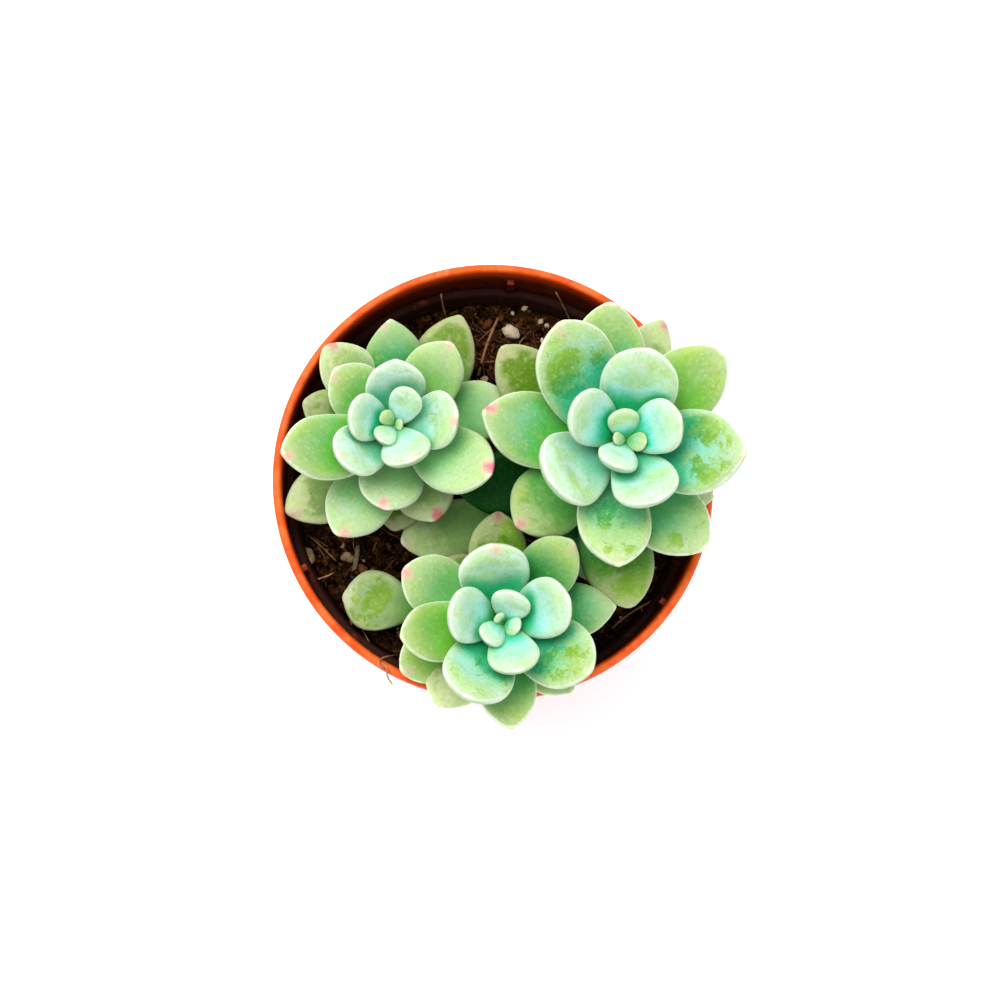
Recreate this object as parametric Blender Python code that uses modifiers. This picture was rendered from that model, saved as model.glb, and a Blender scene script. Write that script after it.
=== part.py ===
# Potted sedum clavatum: a thin moulded plastic nursery pot, its soil, and three leafy stems.
# World +Z is up and the flat underside of the pot stands on z = 0. Lengths are in metres;
# the named sizes below are written in millimetres and multiplied by MM where they are used.

import bpy
import bmesh
import numpy as np
from math import atan2, cos, degrees, hypot, pi, radians, sin

MM = 0.001
FIT = 0.3  # clear gap between pieces that touch on the real plant

# pot: an 8.5 cm pot with a rolled lip, a tall stacking collar and a tapering body
LIP_R = 42.5
LIP_INNER_R = 40.8
POT_H = 76.0
LIP_H = 3.4
COLLAR_FOOT_Z = 64.2
COLLAR_FOOT_R = 41.2
LEDGE_Z = 65.2
LEDGE_R = 38.6
BODY_TOP_R = 39.9
BASE_R = 30.0
FLOOR_T = 1.6
FLOOR_IN_R = 28.6
DRAIN_COUNT = 6
DRAIN_RING_R = 19.0
DRAIN_R = 3.0
POT_STEPS = 56

# soil: fills the pot to just under the collar's ledge, lumpy on top
SOIL_Z = 62.0
LUMP = 0.9
SOIL_STEPS = 40

# leaves: each stem sets a leaf every golden angle; the hand is the way its spiral turns
GOLDEN = 137.508
STEP_YOUNG = 0.30   # distance between neighbouring leaf bases at the growing point
STEP_OLD = 0.50     # what is added to it once the stem has lengthened
YOUNG_LEAVES = 4
THICK_SHARE = 0.42  # leaf thickness over its width
THICK_EXTRA = 0.20  # young leaves are rounder than that
FLAT_SHARE = 0.36   # share of the thickness above the midrib, so the face is flatter than the back
FACE_HOLLOW = 0.06
TIP_POINT = 0.03
LEAF_SEGMENTS, LEAF_RINGS = 10, 7
BUD_SEGMENTS, BUD_RINGS = 8, 6
BUD_LEAVES = 4
SHED_SEGMENTS, SHED_RINGS = 14, 10
# how far the line from a leaf's base to its tip stands above level, by age, and how much it curls
AGE_OF_LIFT = (0, 1, 3, 4, 6, 8, 10, 12, 14, 17, 20, 24)
LIFT = (40, 42, 46, 44, 41, 36, 28, 20, 14, 8, 2, -4)
AGE_OF_CURL = (0, 4, 8, 12, 24)
CURL = (5, 20, 28, 24, 10)
STEM_TOP_R, STEM_FOOT_R = 1.5, 2.3
STEM_DEPTH = 7.0    # how far a stem goes down its hole in the soil

# One row a leaf, youngest first: degrees off the golden spiral, distance of the tip from the
# growing point seen from above, width, and degrees of lift off the rule. Read off the plant.
STEMS = {
    "rosette_right": {
        "apex": (23.7, 4.8, 92.0), "elbow": (19.0, 2.6, 75.0), "foot": (3.0, -6.0),
        "start": 191.5, "hand": 1,
        "leaves": (
            (-16, 2.6, 2.6, 0), (17, 3.5, 3.8, 0), (-5, 5.1, 6.0, 0), (2, 6.4, 7.8, 0),
            (-3, 9.5, 10.4, 0), (-8, 11.7, 10.4, 0), (-5, 13.5, 12.4, 0), (2, 15.5, 14.4, 0),
            (-2, 17.3, 14.6, 0), (1, 21.1, 16.4, 0), (-5, 24.2, 16.0, 0), (1, 24.0, 14.0, 0),
            (1, 24.2, 14.4, 0), (-10, 27.1, 14.2, 0), (-10, 24.8, 14.2, 0), (1, 27.0, 14.8, 0),
            (-14, 25.2, 14.2, 0), (0, 20.0, 11.8, 0), (-7, 29.7, 13.0, 0), (-11, 30.0, 14.0, 0),
            (10, 27.0, 12.0, 0), (-5, 31.5, 13.0, 0), (-1, 20.0, 11.6, 0), (0, 18.0, 11.0, 0),
            (6, 24.5, 13.0, 0),
        ),
    },
    "rosette_left": {
        "apex": (-19.5, 8.8, 84.0), "elbow": (-18.3, 8.2, 72.0), "foot": (-11.0, 6.5),
        "start": 126.0, "hand": -1,
        "leaves": (
            (15, 2.9, 3.0, 0), (15, 1.6, 2.4, 0), (26, 4.5, 4.6, 0), (-13, 6.5, 6.4, 0),
            (-4, 8.8, 9.6, 0), (13, 8.3, 9.0, 0), (-17, 11.7, 11.0, 0), (-25, 12.8, 10.6, 0),
            (-17, 11.5, 11.4, 0), (1, 20.7, 13.2, 0), (7, 21.7, 13.0, 0), (2, 18.8, 11.8, 0),
            (-11, 15.8, 12.2, 0), (-3, 15.8, 11.6, 0), (15, 22.5, 12.2, 0), (19, 22.8, 12.6, 0),
            (6, 21.7, 12.4, 0), (-13, 18.6, 11.6, 0), (-9, 18.0, 10.4, 6), (28, 27.0, 12.4, 0),
            (15, 18.2, 10.4, 0), (11, 20.6, 11.6, 20), (0, 15.0, 9.6, 0), (14, 25.4, 12.6, 14),
            (0, 15.0, 9.0, 0),
        ),
    },
    "rosette_front": {
        "apex": (1.2, -29.1, 87.0), "elbow": (0.5, -27.0, 73.0), "foot": (0.5, -17.5),
        "start": 129.0, "hand": -1,
        "leaves": (
            (7, 2.0, 2.6, 0), (-13, 2.9, 3.8, 0), (9, 5.1, 5.4, 0), (-5, 5.5, 7.4, 0),
            (-16, 9.7, 9.6, 0), (11, 10.4, 10.6, 0), (-6, 12.0, 11.4, 0), (-3, 16.1, 13.6, 0),
            (-7, 14.2, 13.4, 0), (-2, 18.0, 13.4, 0), (-5, 19.3, 11.4, 0), (-6, 19.8, 11.2, 0),
            (-5, 19.3, 11.2, 0), (10, 21.2, 11.8, 0), (6, 21.4, 11.0, 0), (-22, 20.6, 11.4, 0),
            (3, 21.9, 11.2, 0), (6, 17.6, 10.8, 6), (0, 16.0, 10.0, 0), (0, 16.0, 10.0, 0),
            (-28, 19.0, 12.4, 20), (9, 17.5, 10.5, 0), (0, 15.0, 9.4, 0), (0, 15.0, 9.4, 0),
        ),
    },
}
# one old leaf low down on the right stem, seen between the left and the front rosette
LOW_LEAF = {"stem": "rosette_right", "down": 34.0, "towards": 197.0, "length": 25.0, "width": 11.2,
            "pitch": 4.0, "curl": 14.0}
# a shed leaf that lies on the soil: the scar where it broke off, and the way it points
SHED_LEAF = {"scar": (-13.7, -24.1, 66.1), "towards": 172.0, "length": 15.2, "width": 12.2,
             "pitch": -2.0, "curl": 12.0}


def bulge(t, rise, fall):
    """0 at both ends and 1 at its widest; the exponents say how blunt each end is."""
    top = rise / (rise + fall)
    return t**rise * (1 - t)**fall / (top**rise * (1 - top)**fall)


def leaf_thickness(width):
    return width * (THICK_SHARE + THICK_EXTRA * max(0.0, (10 - width) / 10))


def shape_leaf(ball, length, width, curl):
    """Turns points of a unit ball, its poles on z, into a leaf along +Y with its face up."""
    across, up, along = ball[:, 0], ball[:, 1], ball[:, 2]
    t = np.clip((1 + along) / 2, 0, 1)
    ring = np.sqrt(np.maximum(1 - along**2, 1e-12))
    side, rise = across / ring, up / ring
    thick = leaf_thickness(width)
    x = width / 2 * bulge(t, 0.92, 0.62) * side
    z = thick * bulge(t, 0.7, 0.5) * rise * np.where(rise > 0, FLAT_SHARE, 1 - FLAT_SHARE)
    z = z - np.maximum(rise, 0) * FACE_HOLLOW * width * np.sin(pi * t)**2 * (1 - side**2)
    y = length * (t * (1 - TIP_POINT) + TIP_POINT * np.clip((t - 0.9) / 0.1, 0, 1)**2)
    turn = radians(curl)
    radius = length / turn
    angle = turn * y / length
    return np.stack([x, (radius - z) * np.sin(angle), radius - (radius - z) * np.cos(angle)], axis=1)


def set_leaf(points, base, towards, pitch):
    """Pitches the leaf up about its base, turns it to its compass direction and moves it there."""
    a, b = radians(pitch), radians(towards - 90)
    x = points[:, 0]
    y = points[:, 1] * cos(a) - points[:, 2] * sin(a)
    z = points[:, 1] * sin(a) + points[:, 2] * cos(a)
    return np.stack([x * cos(b) - y * sin(b), x * sin(b) + y * cos(b), z], axis=1) + base


def stem_line(stem, count=60):
    """Points down the stem, from its growing point to the soil."""
    top, elbow = np.array(stem["apex"]), np.array(stem["elbow"])
    foot = np.array([*stem["foot"], SOIL_Z + 1.0])
    u = np.linspace(0, 1, count)[:, None]
    return (1 - u)**2 * top + 2 * u * (1 - u) * elbow + u**2 * foot


def point_down(line, distance):
    """The point this far down the stem from the growing point."""
    run = np.concatenate([[0], np.cumsum(np.linalg.norm(np.diff(line, axis=0), axis=1))])
    return np.array([np.interp(distance, run, line[:, k]) for k in range(3)])


def leaf_places(name):
    """(base, compass direction, pitch, length, width, curl) of every leaf of one stem."""
    stem = STEMS[name]
    line = stem_line(stem)
    places = []
    for age, (turn, reach, width, raised) in enumerate(stem["leaves"]):
        base = point_down(line, STEP_YOUNG * age + STEP_OLD * max(age - YOUNG_LEAVES, 0))
        compass = radians(stem["start"] + stem["hand"] * GOLDEN * age + turn)
        dx = stem["apex"][0] + reach * cos(compass) - base[0]
        dy = stem["apex"][1] + reach * sin(compass) - base[1]
        lift = float(np.interp(age, AGE_OF_LIFT, LIFT)) + raised
        curl = float(np.interp(age, AGE_OF_CURL, CURL))
        straight = hypot(dx, dy) / cos(radians(lift))
        length = straight * radians(curl / 2) / sin(radians(curl / 2))
        places.append((base, degrees(atan2(dy, dx)), lift - curl / 2, length, width, curl))
    if LOW_LEAF["stem"] == name:
        places.append((point_down(line, LOW_LEAF["down"]),
                       *(LOW_LEAF[k] for k in ("towards", "pitch", "length", "width", "curl"))))
    return places


def lumps(x, y):
    """Height of the lumpy soil over its mean level, in millimetres, from a few crossed waves."""
    return LUMP * (0.55 * sin(0.31 * x + 1.3) * cos(0.27 * y - 0.4) + 0.45 * sin(0.53 * x - 0.47 * y + 2.1)
                   + 0.35 * cos(0.83 * x + 0.61 * y))


def clear_scene():
    for obj in list(bpy.data.objects):
        bpy.data.objects.remove(obj, do_unlink=True)


def new_collection(name, parent=None):
    group = bpy.data.collections.new(name)
    (parent or bpy.context.scene.collection).children.link(group)
    return group


def new_material(name, colour, roughness):
    material = bpy.data.materials.new(name)
    material.use_nodes = True
    shader = material.node_tree.nodes["Principled BSDF"]
    shader.inputs["Base Color"].default_value = (*colour, 1)
    shader.inputs["Roughness"].default_value = roughness
    return material


def object_of(name, shape, group, material=None):
    mesh = bpy.data.meshes.new(name)
    shape.to_mesh(mesh)
    shape.free()
    obj = bpy.data.objects.new(name, mesh)
    group.objects.link(obj)
    if material:
        mesh.materials.append(material)
    return obj


def turned(name, profile, steps, group, material):
    """A solid of revolution: the profile in the XZ plane goes down its outer side first."""
    shape = bmesh.new()
    points = [shape.verts.new((x * MM, 0, z * MM)) for x, z in profile]
    for a, b in zip(points, points[1:]):
        shape.edges.new((a, b))
    obj = object_of(name, shape, group, material)
    screw = obj.modifiers.new("Turn", "SCREW")
    screw.steps = screw.render_steps = steps
    screw.use_merge_vertices = True
    screw.merge_threshold = 0.0001
    screw.use_normal_calculate = True
    return obj


def applied(obj):
    """The object with its modifiers worked into its mesh."""
    graph = bpy.context.evaluated_depsgraph_get()
    mesh = bpy.data.meshes.new_from_object(obj.evaluated_get(graph))
    obj.modifiers.clear()
    old, obj.data = obj.data, mesh
    bpy.data.meshes.remove(old)
    return obj


def build_pot(group, cutters, material):
    profile = [
        (0, 0), (0, FLOOR_T), (FLOOR_IN_R, FLOOR_T), (FLOOR_IN_R + 0.9, FLOOR_T + 1.1),
        (LEDGE_R, LEDGE_Z - 0.5), (LEDGE_R + 0.3, LEDGE_Z), (LIP_INNER_R - 0.7, LEDGE_Z + 0.2),
        (LIP_INNER_R, POT_H - 0.5), (LIP_INNER_R + 0.4, POT_H), (LIP_R - 0.5, POT_H), (LIP_R, POT_H - 0.5),
        (LIP_R, POT_H - LIP_H + 0.5), (LIP_R - 0.5, POT_H - LIP_H), (COLLAR_FOOT_R, COLLAR_FOOT_Z + 0.4),
        (COLLAR_FOOT_R - 0.4, COLLAR_FOOT_Z), (BODY_TOP_R, COLLAR_FOOT_Z - 0.2),
        (BASE_R, 1.4), (BASE_R - 0.8, 0), (0, 0),
    ]
    pot = turned("pot", profile[:0:-1], POT_STEPS, group, material)
    for k in range(DRAIN_COUNT):
        a = 2 * pi * (k + 0.5) / DRAIN_COUNT
        hole = bmesh.new()
        bmesh.ops.create_cone(hole, cap_ends=True, segments=16, radius1=DRAIN_R * MM,
                              radius2=DRAIN_R * MM, depth=8 * MM)
        spot = (DRAIN_RING_R * cos(a) * MM, DRAIN_RING_R * sin(a) * MM, 0)
        bmesh.ops.translate(hole, verts=hole.verts, vec=spot)
        cutter = object_of(f"drain_cutter_{k}", hole, cutters)
        cutter.hide_render = True
        cutter.display_type = "WIRE"
    cut = pot.modifiers.new("Drain holes", "BOOLEAN")
    cut.operand_type = "COLLECTION"
    cut.collection = cutters
    cut.operation = "DIFFERENCE"
    cut.solver = "EXACT"
    return pot


def build_soil(group, cutters, material):
    """Fills the pot inside the wall, less the fit, with one plain hole for each stem."""
    slope = (LEDGE_R - FLOOR_IN_R - 0.9) / (LEDGE_Z - 0.5 - FLOOR_T - 1.1)
    wall_r = lambda z: FLOOR_IN_R + 0.9 + slope * (z - FLOOR_T - 1.1) - FIT * 1.2
    rings = [0.0, 6.0, 12.0, 18.0, 24.0, 30.0, 35.0]
    edge_z = SOIL_Z - 0.6
    profile = [(0, SOIL_Z)] + [(r, SOIL_Z) for r in rings[1:]] + [(wall_r(edge_z), edge_z)]
    profile += [(wall_r(30), 30), (wall_r(4.5), 4.5), (FLOOR_IN_R - 0.6, FLOOR_T + FIT), (0, FLOOR_T + FIT)]
    soil = applied(turned("soil", profile, SOIL_STEPS, group, material))
    for v in soil.data.vertices:
        x, y, z = v.co / MM
        if z > SOIL_Z - 0.1:
            fade = min(1.0, (38.0 - hypot(x, y)) / 5)
            v.co.z = (SOIL_Z + fade * lumps(x, y)) * MM
    for name, stem in STEMS.items():
        hole = bmesh.new()
        radius = (STEM_FOOT_R + FIT) * MM
        bmesh.ops.create_cone(hole, cap_ends=True, segments=16, radius1=radius,
                              radius2=radius, depth=20 * MM)
        middle = SOIL_Z - STEM_DEPTH - FIT + 10
        spot = (stem["foot"][0] * MM, stem["foot"][1] * MM, middle * MM)
        bmesh.ops.translate(hole, verts=hole.verts, vec=spot)
        cutter = object_of(f"stem_hole_{name}", hole, cutters)
        cutter.hide_render = True
        cutter.display_type = "WIRE"
    cut = soil.modifiers.new("Stem holes", "BOOLEAN")
    cut.operand_type = "COLLECTION"
    cut.collection = cutters
    cut.operation = "DIFFERENCE"
    cut.solver = "EXACT"
    return soil


def build_stem(name, group, material):
    """The bare stem: a tapering tube down the stem line and straight down its hole."""
    stem = STEMS[name]
    line = stem_line(stem, 9)[:-1]
    foot = [np.array([*stem["foot"], SOIL_Z + 1.5]), np.array([*stem["foot"], SOIL_Z - STEM_DEPTH])]
    points = [*line, *foot]
    curve = bpy.data.curves.new(name, "CURVE")
    curve.dimensions = "3D"
    curve.bevel_depth = MM
    curve.bevel_resolution = 2
    curve.use_fill_caps = True
    spline = curve.splines.new("POLY")
    spline.points.add(len(points) - 1)
    for k, (spot, point) in enumerate(zip(spline.points, points)):
        spot.co = (*(point * MM), 1)
        spot.radius = STEM_TOP_R + (STEM_FOOT_R - STEM_TOP_R) * min(1.0, k / (len(points) - 2))
    helper = bpy.data.objects.new(name + "_line", curve)
    group.objects.link(helper)
    graph = bpy.context.evaluated_depsgraph_get()
    mesh = bpy.data.meshes.new_from_object(helper.evaluated_get(graph))
    bpy.data.objects.remove(helper, do_unlink=True)
    shape = bmesh.new()
    shape.from_mesh(mesh)
    bpy.data.meshes.remove(mesh)
    bmesh.ops.remove_doubles(shape, verts=shape.verts, dist=1e-6)
    bmesh.ops.recalc_face_normals(shape, faces=shape.faces)
    return object_of(name, shape, group, material)


def build_leaf(name, place, ball, group, material=None):
    """One leaf as a closed body: a ball of so many segments and rings, worked to shape and set in place."""
    base, towards, pitch, length, width, curl = place
    shape = bmesh.new()
    bmesh.ops.create_uvsphere(shape, u_segments=ball[0], v_segments=ball[1], radius=1)
    points = np.array([v.co[:] for v in shape.verts])
    spots = set_leaf(shape_leaf(points, length, width, curl), base, towards, pitch) * MM
    for v, spot in zip(shape.verts, spots):
        v.co = spot
    bmesh.ops.triangulate(shape, faces=shape.faces)
    bmesh.ops.recalc_face_normals(shape, faces=shape.faces)
    return object_of(name, shape, group, material)


def build_rosette(name, group, material):
    """The stem with all its leaves fused on, as one closed body."""
    stem = build_stem(name, group, material)
    leaves = new_collection(name + "_leaves", group)
    for age, place in enumerate(leaf_places(name)):
        ball = (BUD_SEGMENTS, BUD_RINGS) if age < BUD_LEAVES else (LEAF_SEGMENTS, LEAF_RINGS)
        build_leaf(f"{name}_leaf_{age:02d}", place, ball, leaves)
    join = stem.modifiers.new("Leaves", "BOOLEAN")
    join.operand_type = "COLLECTION"
    join.collection = leaves
    join.operation = "UNION"
    join.solver = "MANIFOLD"
    applied(stem)
    for obj in list(leaves.objects):
        bpy.data.objects.remove(obj, do_unlink=True)
    bpy.data.collections.remove(leaves)
    return stem


def main():
    clear_scene()
    whole = new_collection("potted_sedum_clavatum")
    drain_cutters = new_collection("drain_cutters", whole)
    hole_cutters = new_collection("stem_hole_cutters", whole)
    plastic = new_material("orange_plastic", (0.62, 0.13, 0.03), 0.35)
    peat = new_material("peat_soil", (0.035, 0.022, 0.014), 0.9)
    leaf = new_material("waxy_leaf", (0.42, 0.62, 0.40), 0.5)
    build_pot(whole, drain_cutters, plastic)
    build_soil(whole, hole_cutters, peat)
    for name in STEMS:
        build_rosette(name, whole, leaf)
    shed = tuple(SHED_LEAF[k] for k in ("scar", "towards", "pitch", "length", "width", "curl"))
    build_leaf("shed_leaf", shed, (SHED_SEGMENTS, SHED_RINGS), whole, leaf)


main()
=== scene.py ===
# %% [markdown]
# # A potted Sedum clavatum
# A small succulent in its nursery pot, seen nearly from above: a thin orange plastic pot, dark peat with
# perlite, and three leafy stems that each end in a rosette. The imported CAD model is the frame. Its sizes
# and its rule for placing leaves are repeated here with finer shapes, and the pot, the soil, the rosettes
# and the shed leaf stand in for its nodes. The rest is grit and fibre that the CAD leaves out.

from math import atan2, cos, degrees, hypot, pi, radians, sin
from random import Random

import bmesh
import bpy
import numpy as np
from mathutils import Matrix, Vector, noise
from mathutils.bvhtree import BVHTree


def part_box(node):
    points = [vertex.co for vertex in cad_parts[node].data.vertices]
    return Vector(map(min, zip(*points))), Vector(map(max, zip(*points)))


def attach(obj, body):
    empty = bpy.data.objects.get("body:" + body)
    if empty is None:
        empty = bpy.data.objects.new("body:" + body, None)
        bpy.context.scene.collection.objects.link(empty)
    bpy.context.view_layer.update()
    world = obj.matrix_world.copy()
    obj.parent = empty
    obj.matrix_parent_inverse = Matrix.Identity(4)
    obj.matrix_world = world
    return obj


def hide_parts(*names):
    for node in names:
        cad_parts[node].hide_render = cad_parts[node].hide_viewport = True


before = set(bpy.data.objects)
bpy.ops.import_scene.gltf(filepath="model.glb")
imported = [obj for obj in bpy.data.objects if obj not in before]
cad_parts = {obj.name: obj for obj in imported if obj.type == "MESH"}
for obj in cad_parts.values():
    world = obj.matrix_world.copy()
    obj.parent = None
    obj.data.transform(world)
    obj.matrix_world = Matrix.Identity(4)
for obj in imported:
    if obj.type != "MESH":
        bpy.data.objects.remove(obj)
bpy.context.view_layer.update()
MM = 0.001

# %% [markdown]
# ## The camera
# The outline of the rim in the photograph is an ellipse, which gives the lean of the camera off the pot's
# axis, and how much of the inner wall shows at the top and hides at the bottom gives its distance. Both
# were measured on the photograph once, and the numbers below are the result. A camera matrix is built from
# the direction back to the camera and the picture's up, so nothing has to track or be constrained.

# %% Camera at the photograph's viewing angle
PHOTO_SIZE = 1000                          # pixels on each side
AIM = Vector((1.08, -4.14, 76.0)) * MM     # the point in the middle of the picture
CAMERA_DISTANCE = 450 * MM
CAMERA_LEAN = radians(9.5)                 # off the pot's axis
LEAN_WAY = Vector((-0.351, -0.936, 0))     # towards the lower left of the picture
LENS, SENSOR = 84.4, 36.0

camera = bpy.data.objects.new("camera", bpy.data.cameras.new("camera"))
bpy.context.scene.collection.objects.link(camera)
camera.data.lens = LENS
camera.data.sensor_width = SENSOR
camera.data.clip_start = 0.01
back = (LEAN_WAY * sin(CAMERA_LEAN) + Vector((0, 0, cos(CAMERA_LEAN)))).normalized()
up = (Vector((0, 1, 0)) - back * back.y).normalized()
view_turn = Matrix((up.cross(back), up, back)).transposed()
eye = AIM + back * CAMERA_DISTANCE
camera.matrix_world = view_turn.to_4x4()
camera.matrix_world.translation = eye
bpy.context.scene.camera = camera


def seen_at(px, py, level):
    """The point at this height (metres) that the photograph shows at this pixel."""
    ray = Vector(((px / PHOTO_SIZE - 0.5) * SENSOR / LENS, (0.5 - py / PHOTO_SIZE) * SENSOR / LENS, -1))
    ray = view_turn @ ray
    return eye + ray * ((level - eye.z) / ray.z)


print("one millimetre at the rim is", round(LENS / SENSOR * PHOTO_SIZE / (CAMERA_DISTANCE / MM), 2), "pixels")

# %% [markdown]
# ## Light and floor
# The photograph is high-key: a white table under broad daylight from the upper left, so bright that the
# table is pure white and its shadows nearly vanish. A white world gives the all-round light, one large soft
# panel the direction, and a weak one opposite lifts the shade. The floor is a plain pale sheet. The
# Standard view with a little more contrast keeps whites white and colours rich.

# %% Light panels, sky and floor
SKY_STRENGTH = 1.15
KEY_POWER, KEY_SIZE = 13.0, 0.9
KEY_PLACE = Vector((-0.36, 0.46, 1.05))
FILL_POWER, FILL_SIZE = 1.0, 0.8
FILL_PLACE = Vector((0.6, -0.55, 0.6))

scene = bpy.context.scene
scene.view_settings.view_transform = "Standard"
scene.view_settings.look = "Medium High Contrast"
sky = bpy.data.worlds.new("sky")
sky.use_nodes = True
sky.node_tree.nodes["Background"].inputs["Color"].default_value = (0.95, 0.98, 1.0, 1)
sky.node_tree.nodes["Background"].inputs["Strength"].default_value = SKY_STRENGTH
scene.world = sky


def light_panel(name, place, power, size, colour):
    panel = bpy.data.objects.new(name, bpy.data.lights.new(name, "AREA"))
    panel.data.energy = power
    panel.data.size = size
    panel.data.color = colour
    panel.location = place
    panel.rotation_mode = "QUATERNION"
    panel.rotation_quaternion = (place - Vector((0, 0, 70 * MM))).to_track_quat("Z", "Y")
    scene.collection.objects.link(panel)


light_panel("window_light", KEY_PLACE, KEY_POWER, KEY_SIZE, (1.0, 0.985, 0.96))
light_panel("fill_light", FILL_PLACE, FILL_POWER, FILL_SIZE, (0.96, 0.98, 1.0))
print("lights:", KEY_POWER, "and", FILL_POWER, "watts, under a sky of", SKY_STRENGTH)


def object_of(name, shape, *materials):
    """Turns a bmesh into a smooth-shaded object at the origin, and frees it."""
    mesh = bpy.data.meshes.new(name)
    for face in shape.faces:
        face.smooth = True
    shape.to_mesh(mesh)
    shape.free()
    for material in materials:
        mesh.materials.append(material)
    obj = bpy.data.objects.new(name, mesh)
    scene.collection.objects.link(obj)
    return obj


FLOOR_SIZE = 6.0
floor_shape = bmesh.new()
bmesh.ops.create_grid(floor_shape, x_segments=4, y_segments=4, size=FLOOR_SIZE / 2)
floor_finish = bpy.data.materials.new("pale_floor")
floor_finish.use_nodes = True
floor_shader = floor_finish.node_tree.nodes["Principled BSDF"]
floor_shader.inputs["Base Color"].default_value = (0.90, 0.91, 0.92, 1)
floor_shader.inputs["Roughness"].default_value = 0.7
floor = object_of("floor", floor_shape, floor_finish)

# %% [markdown]
# ## Small helpers for node trees
# A material is a chain of small sums and mixes. These helpers add one node each, link or set its inputs,
# and return the output socket, so that the finishes below read as plain steps.

# %% Helpers for node trees
def add(tree, kind, **settings):
    made = tree.nodes.new("ShaderNode" + kind)
    for name, value in settings.items():
        setattr(made, name, value)
    return made


def feed(tree, socket, source):
    """Links the socket to another one, or sets it to a number or colour."""
    if isinstance(source, bpy.types.NodeSocket):
        tree.links.new(source, socket)
    elif socket.type == "RGBA":
        socket.default_value = (*source, 1)
    else:
        socket.default_value = source


def maths(tree, operation, *values, clamp=False):
    made = add(tree, "Math", operation=operation, use_clamp=clamp)
    for socket, value in zip(made.inputs, values):
        feed(tree, socket, value)
    return made.outputs[0]


def times(tree, *factors):
    product = factors[0]
    for factor in factors[1:]:
        product = maths(tree, "MULTIPLY", product, factor)
    return product


def plus(tree, a, b):
    return maths(tree, "ADD", a, b)


def minus(tree, a, b):
    return maths(tree, "SUBTRACT", a, b)


def larger(tree, a, b):
    return maths(tree, "MAXIMUM", a, b)


def swung(tree, pattern, by):
    """A pattern from 0 to 1 as a drift to both sides of nothing."""
    return times(tree, minus(tree, pattern, 0.5), by)


def mixed(tree, share, a, b):
    """Colour a, going to colour b as share goes from 0 to 1."""
    made = add(tree, "Mix", data_type="RGBA")
    feed(tree, made.inputs[0], share)
    feed(tree, made.inputs[6], a)
    feed(tree, made.inputs[7], b)
    return made.outputs[2]


def coated(tree, colour, *coats):
    """The colour under coats of (share, colour), laid on one after another."""
    for share, coat in coats:
        colour = mixed(tree, share, colour, coat)
    return colour


def ease(tree, value, start, end, low=0.0, high=1.0):
    """low before start, high after end, and a smooth rise between them."""
    made = add(tree, "MapRange", interpolation_type="SMOOTHSTEP")
    for socket, source in zip(made.inputs[:5], (value, start, end, low, high)):
        feed(tree, socket, source)
    return made.outputs[0]


def graded(tree, value, stops):
    """A colour that follows value through (position, colour) stops."""
    made = add(tree, "ValToRGB")
    ramp = made.color_ramp
    for index, (position, colour) in enumerate(stops):
        stop = ramp.elements[index] if index < 2 else ramp.elements.new(position)
        stop.position = position
        stop.color = (*colour, 1)
    feed(tree, made.inputs[0], value)
    return made.outputs[0]


def cloud(tree, vector, scale, detail=4.0, roughness=0.6, distortion=0.0):
    made = add(tree, "TexNoise")
    settings = {"Vector": vector, "Scale": scale, "Detail": detail, "Roughness": roughness,
                "Distortion": distortion}
    for name, source in settings.items():
        feed(tree, made.inputs[name], source)
    return made.outputs[0]


def reading(tree, name):
    """The value that a piece's mesh carries under this name."""
    return add(tree, "Attribute", attribute_name=name).outputs["Fac"]


def readings(tree, *names):
    return [reading(tree, name) for name in names]


def stretched(tree, vector, x, y, z):
    made = add(tree, "VectorMath", operation="MULTIPLY")
    feed(tree, made.inputs[0], vector)
    made.inputs[1].default_value = (x, y, z)
    return made.outputs[0]


def new_finish(name, roughness):
    """A material, its tree, its Principled shader and the object's own coordinates."""
    material = bpy.data.materials.new(name)
    material.use_nodes = True
    tree = material.node_tree
    shader = tree.nodes["Principled BSDF"]
    shader.inputs["Roughness"].default_value = roughness
    return material, tree, shader, add(tree, "TexCoord").outputs["Object"]


def relief(tree, shader, height, depth):
    """Bumps the surface by height, where 1 stands this many metres proud."""
    bump = add(tree, "Bump")
    bump.inputs["Strength"].default_value = 1.0
    bump.inputs["Distance"].default_value = depth
    feed(tree, bump.inputs["Height"], height)
    feed(tree, shader.inputs["Normal"], bump.outputs[0])


# %% [markdown]
# ## Effects that several finishes share
# Blotches are ragged patches, such as where wax has been rubbed off a leaf or splashed peat has dried on
# plastic. Grit is a scatter of separate dots. Hairlines are thin broken lines, such as scratches and small
# cracks. Grain is fine fractal relief. Each is one node group, built once, with its own sizes in
# millimetres wherever it is used.

# %% Shared node groups
def new_group(name, inputs, output):
    """A node group with float inputs after its Vector, and one float output."""
    group = bpy.data.node_groups.new(name, "ShaderNodeTree")
    group.interface.new_socket("Vector", in_out="INPUT", socket_type="NodeSocketVector")
    for label, value in inputs.items():
        socket = group.interface.new_socket(label, in_out="INPUT", socket_type="NodeSocketFloat")
        socket.default_value = value
    group.interface.new_socket(output, in_out="OUTPUT", socket_type="NodeSocketFloat")
    return group, group.nodes.new("NodeGroupInput").outputs, group.nodes.new("NodeGroupOutput").inputs[0]


def placed(tree, group, **values):
    """The group's output, with the group set into this tree."""
    made = add(tree, "Group")
    made.node_tree = group
    for label, source in values.items():
        feed(tree, made.inputs[label], source)
    return made.outputs[0]


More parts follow.
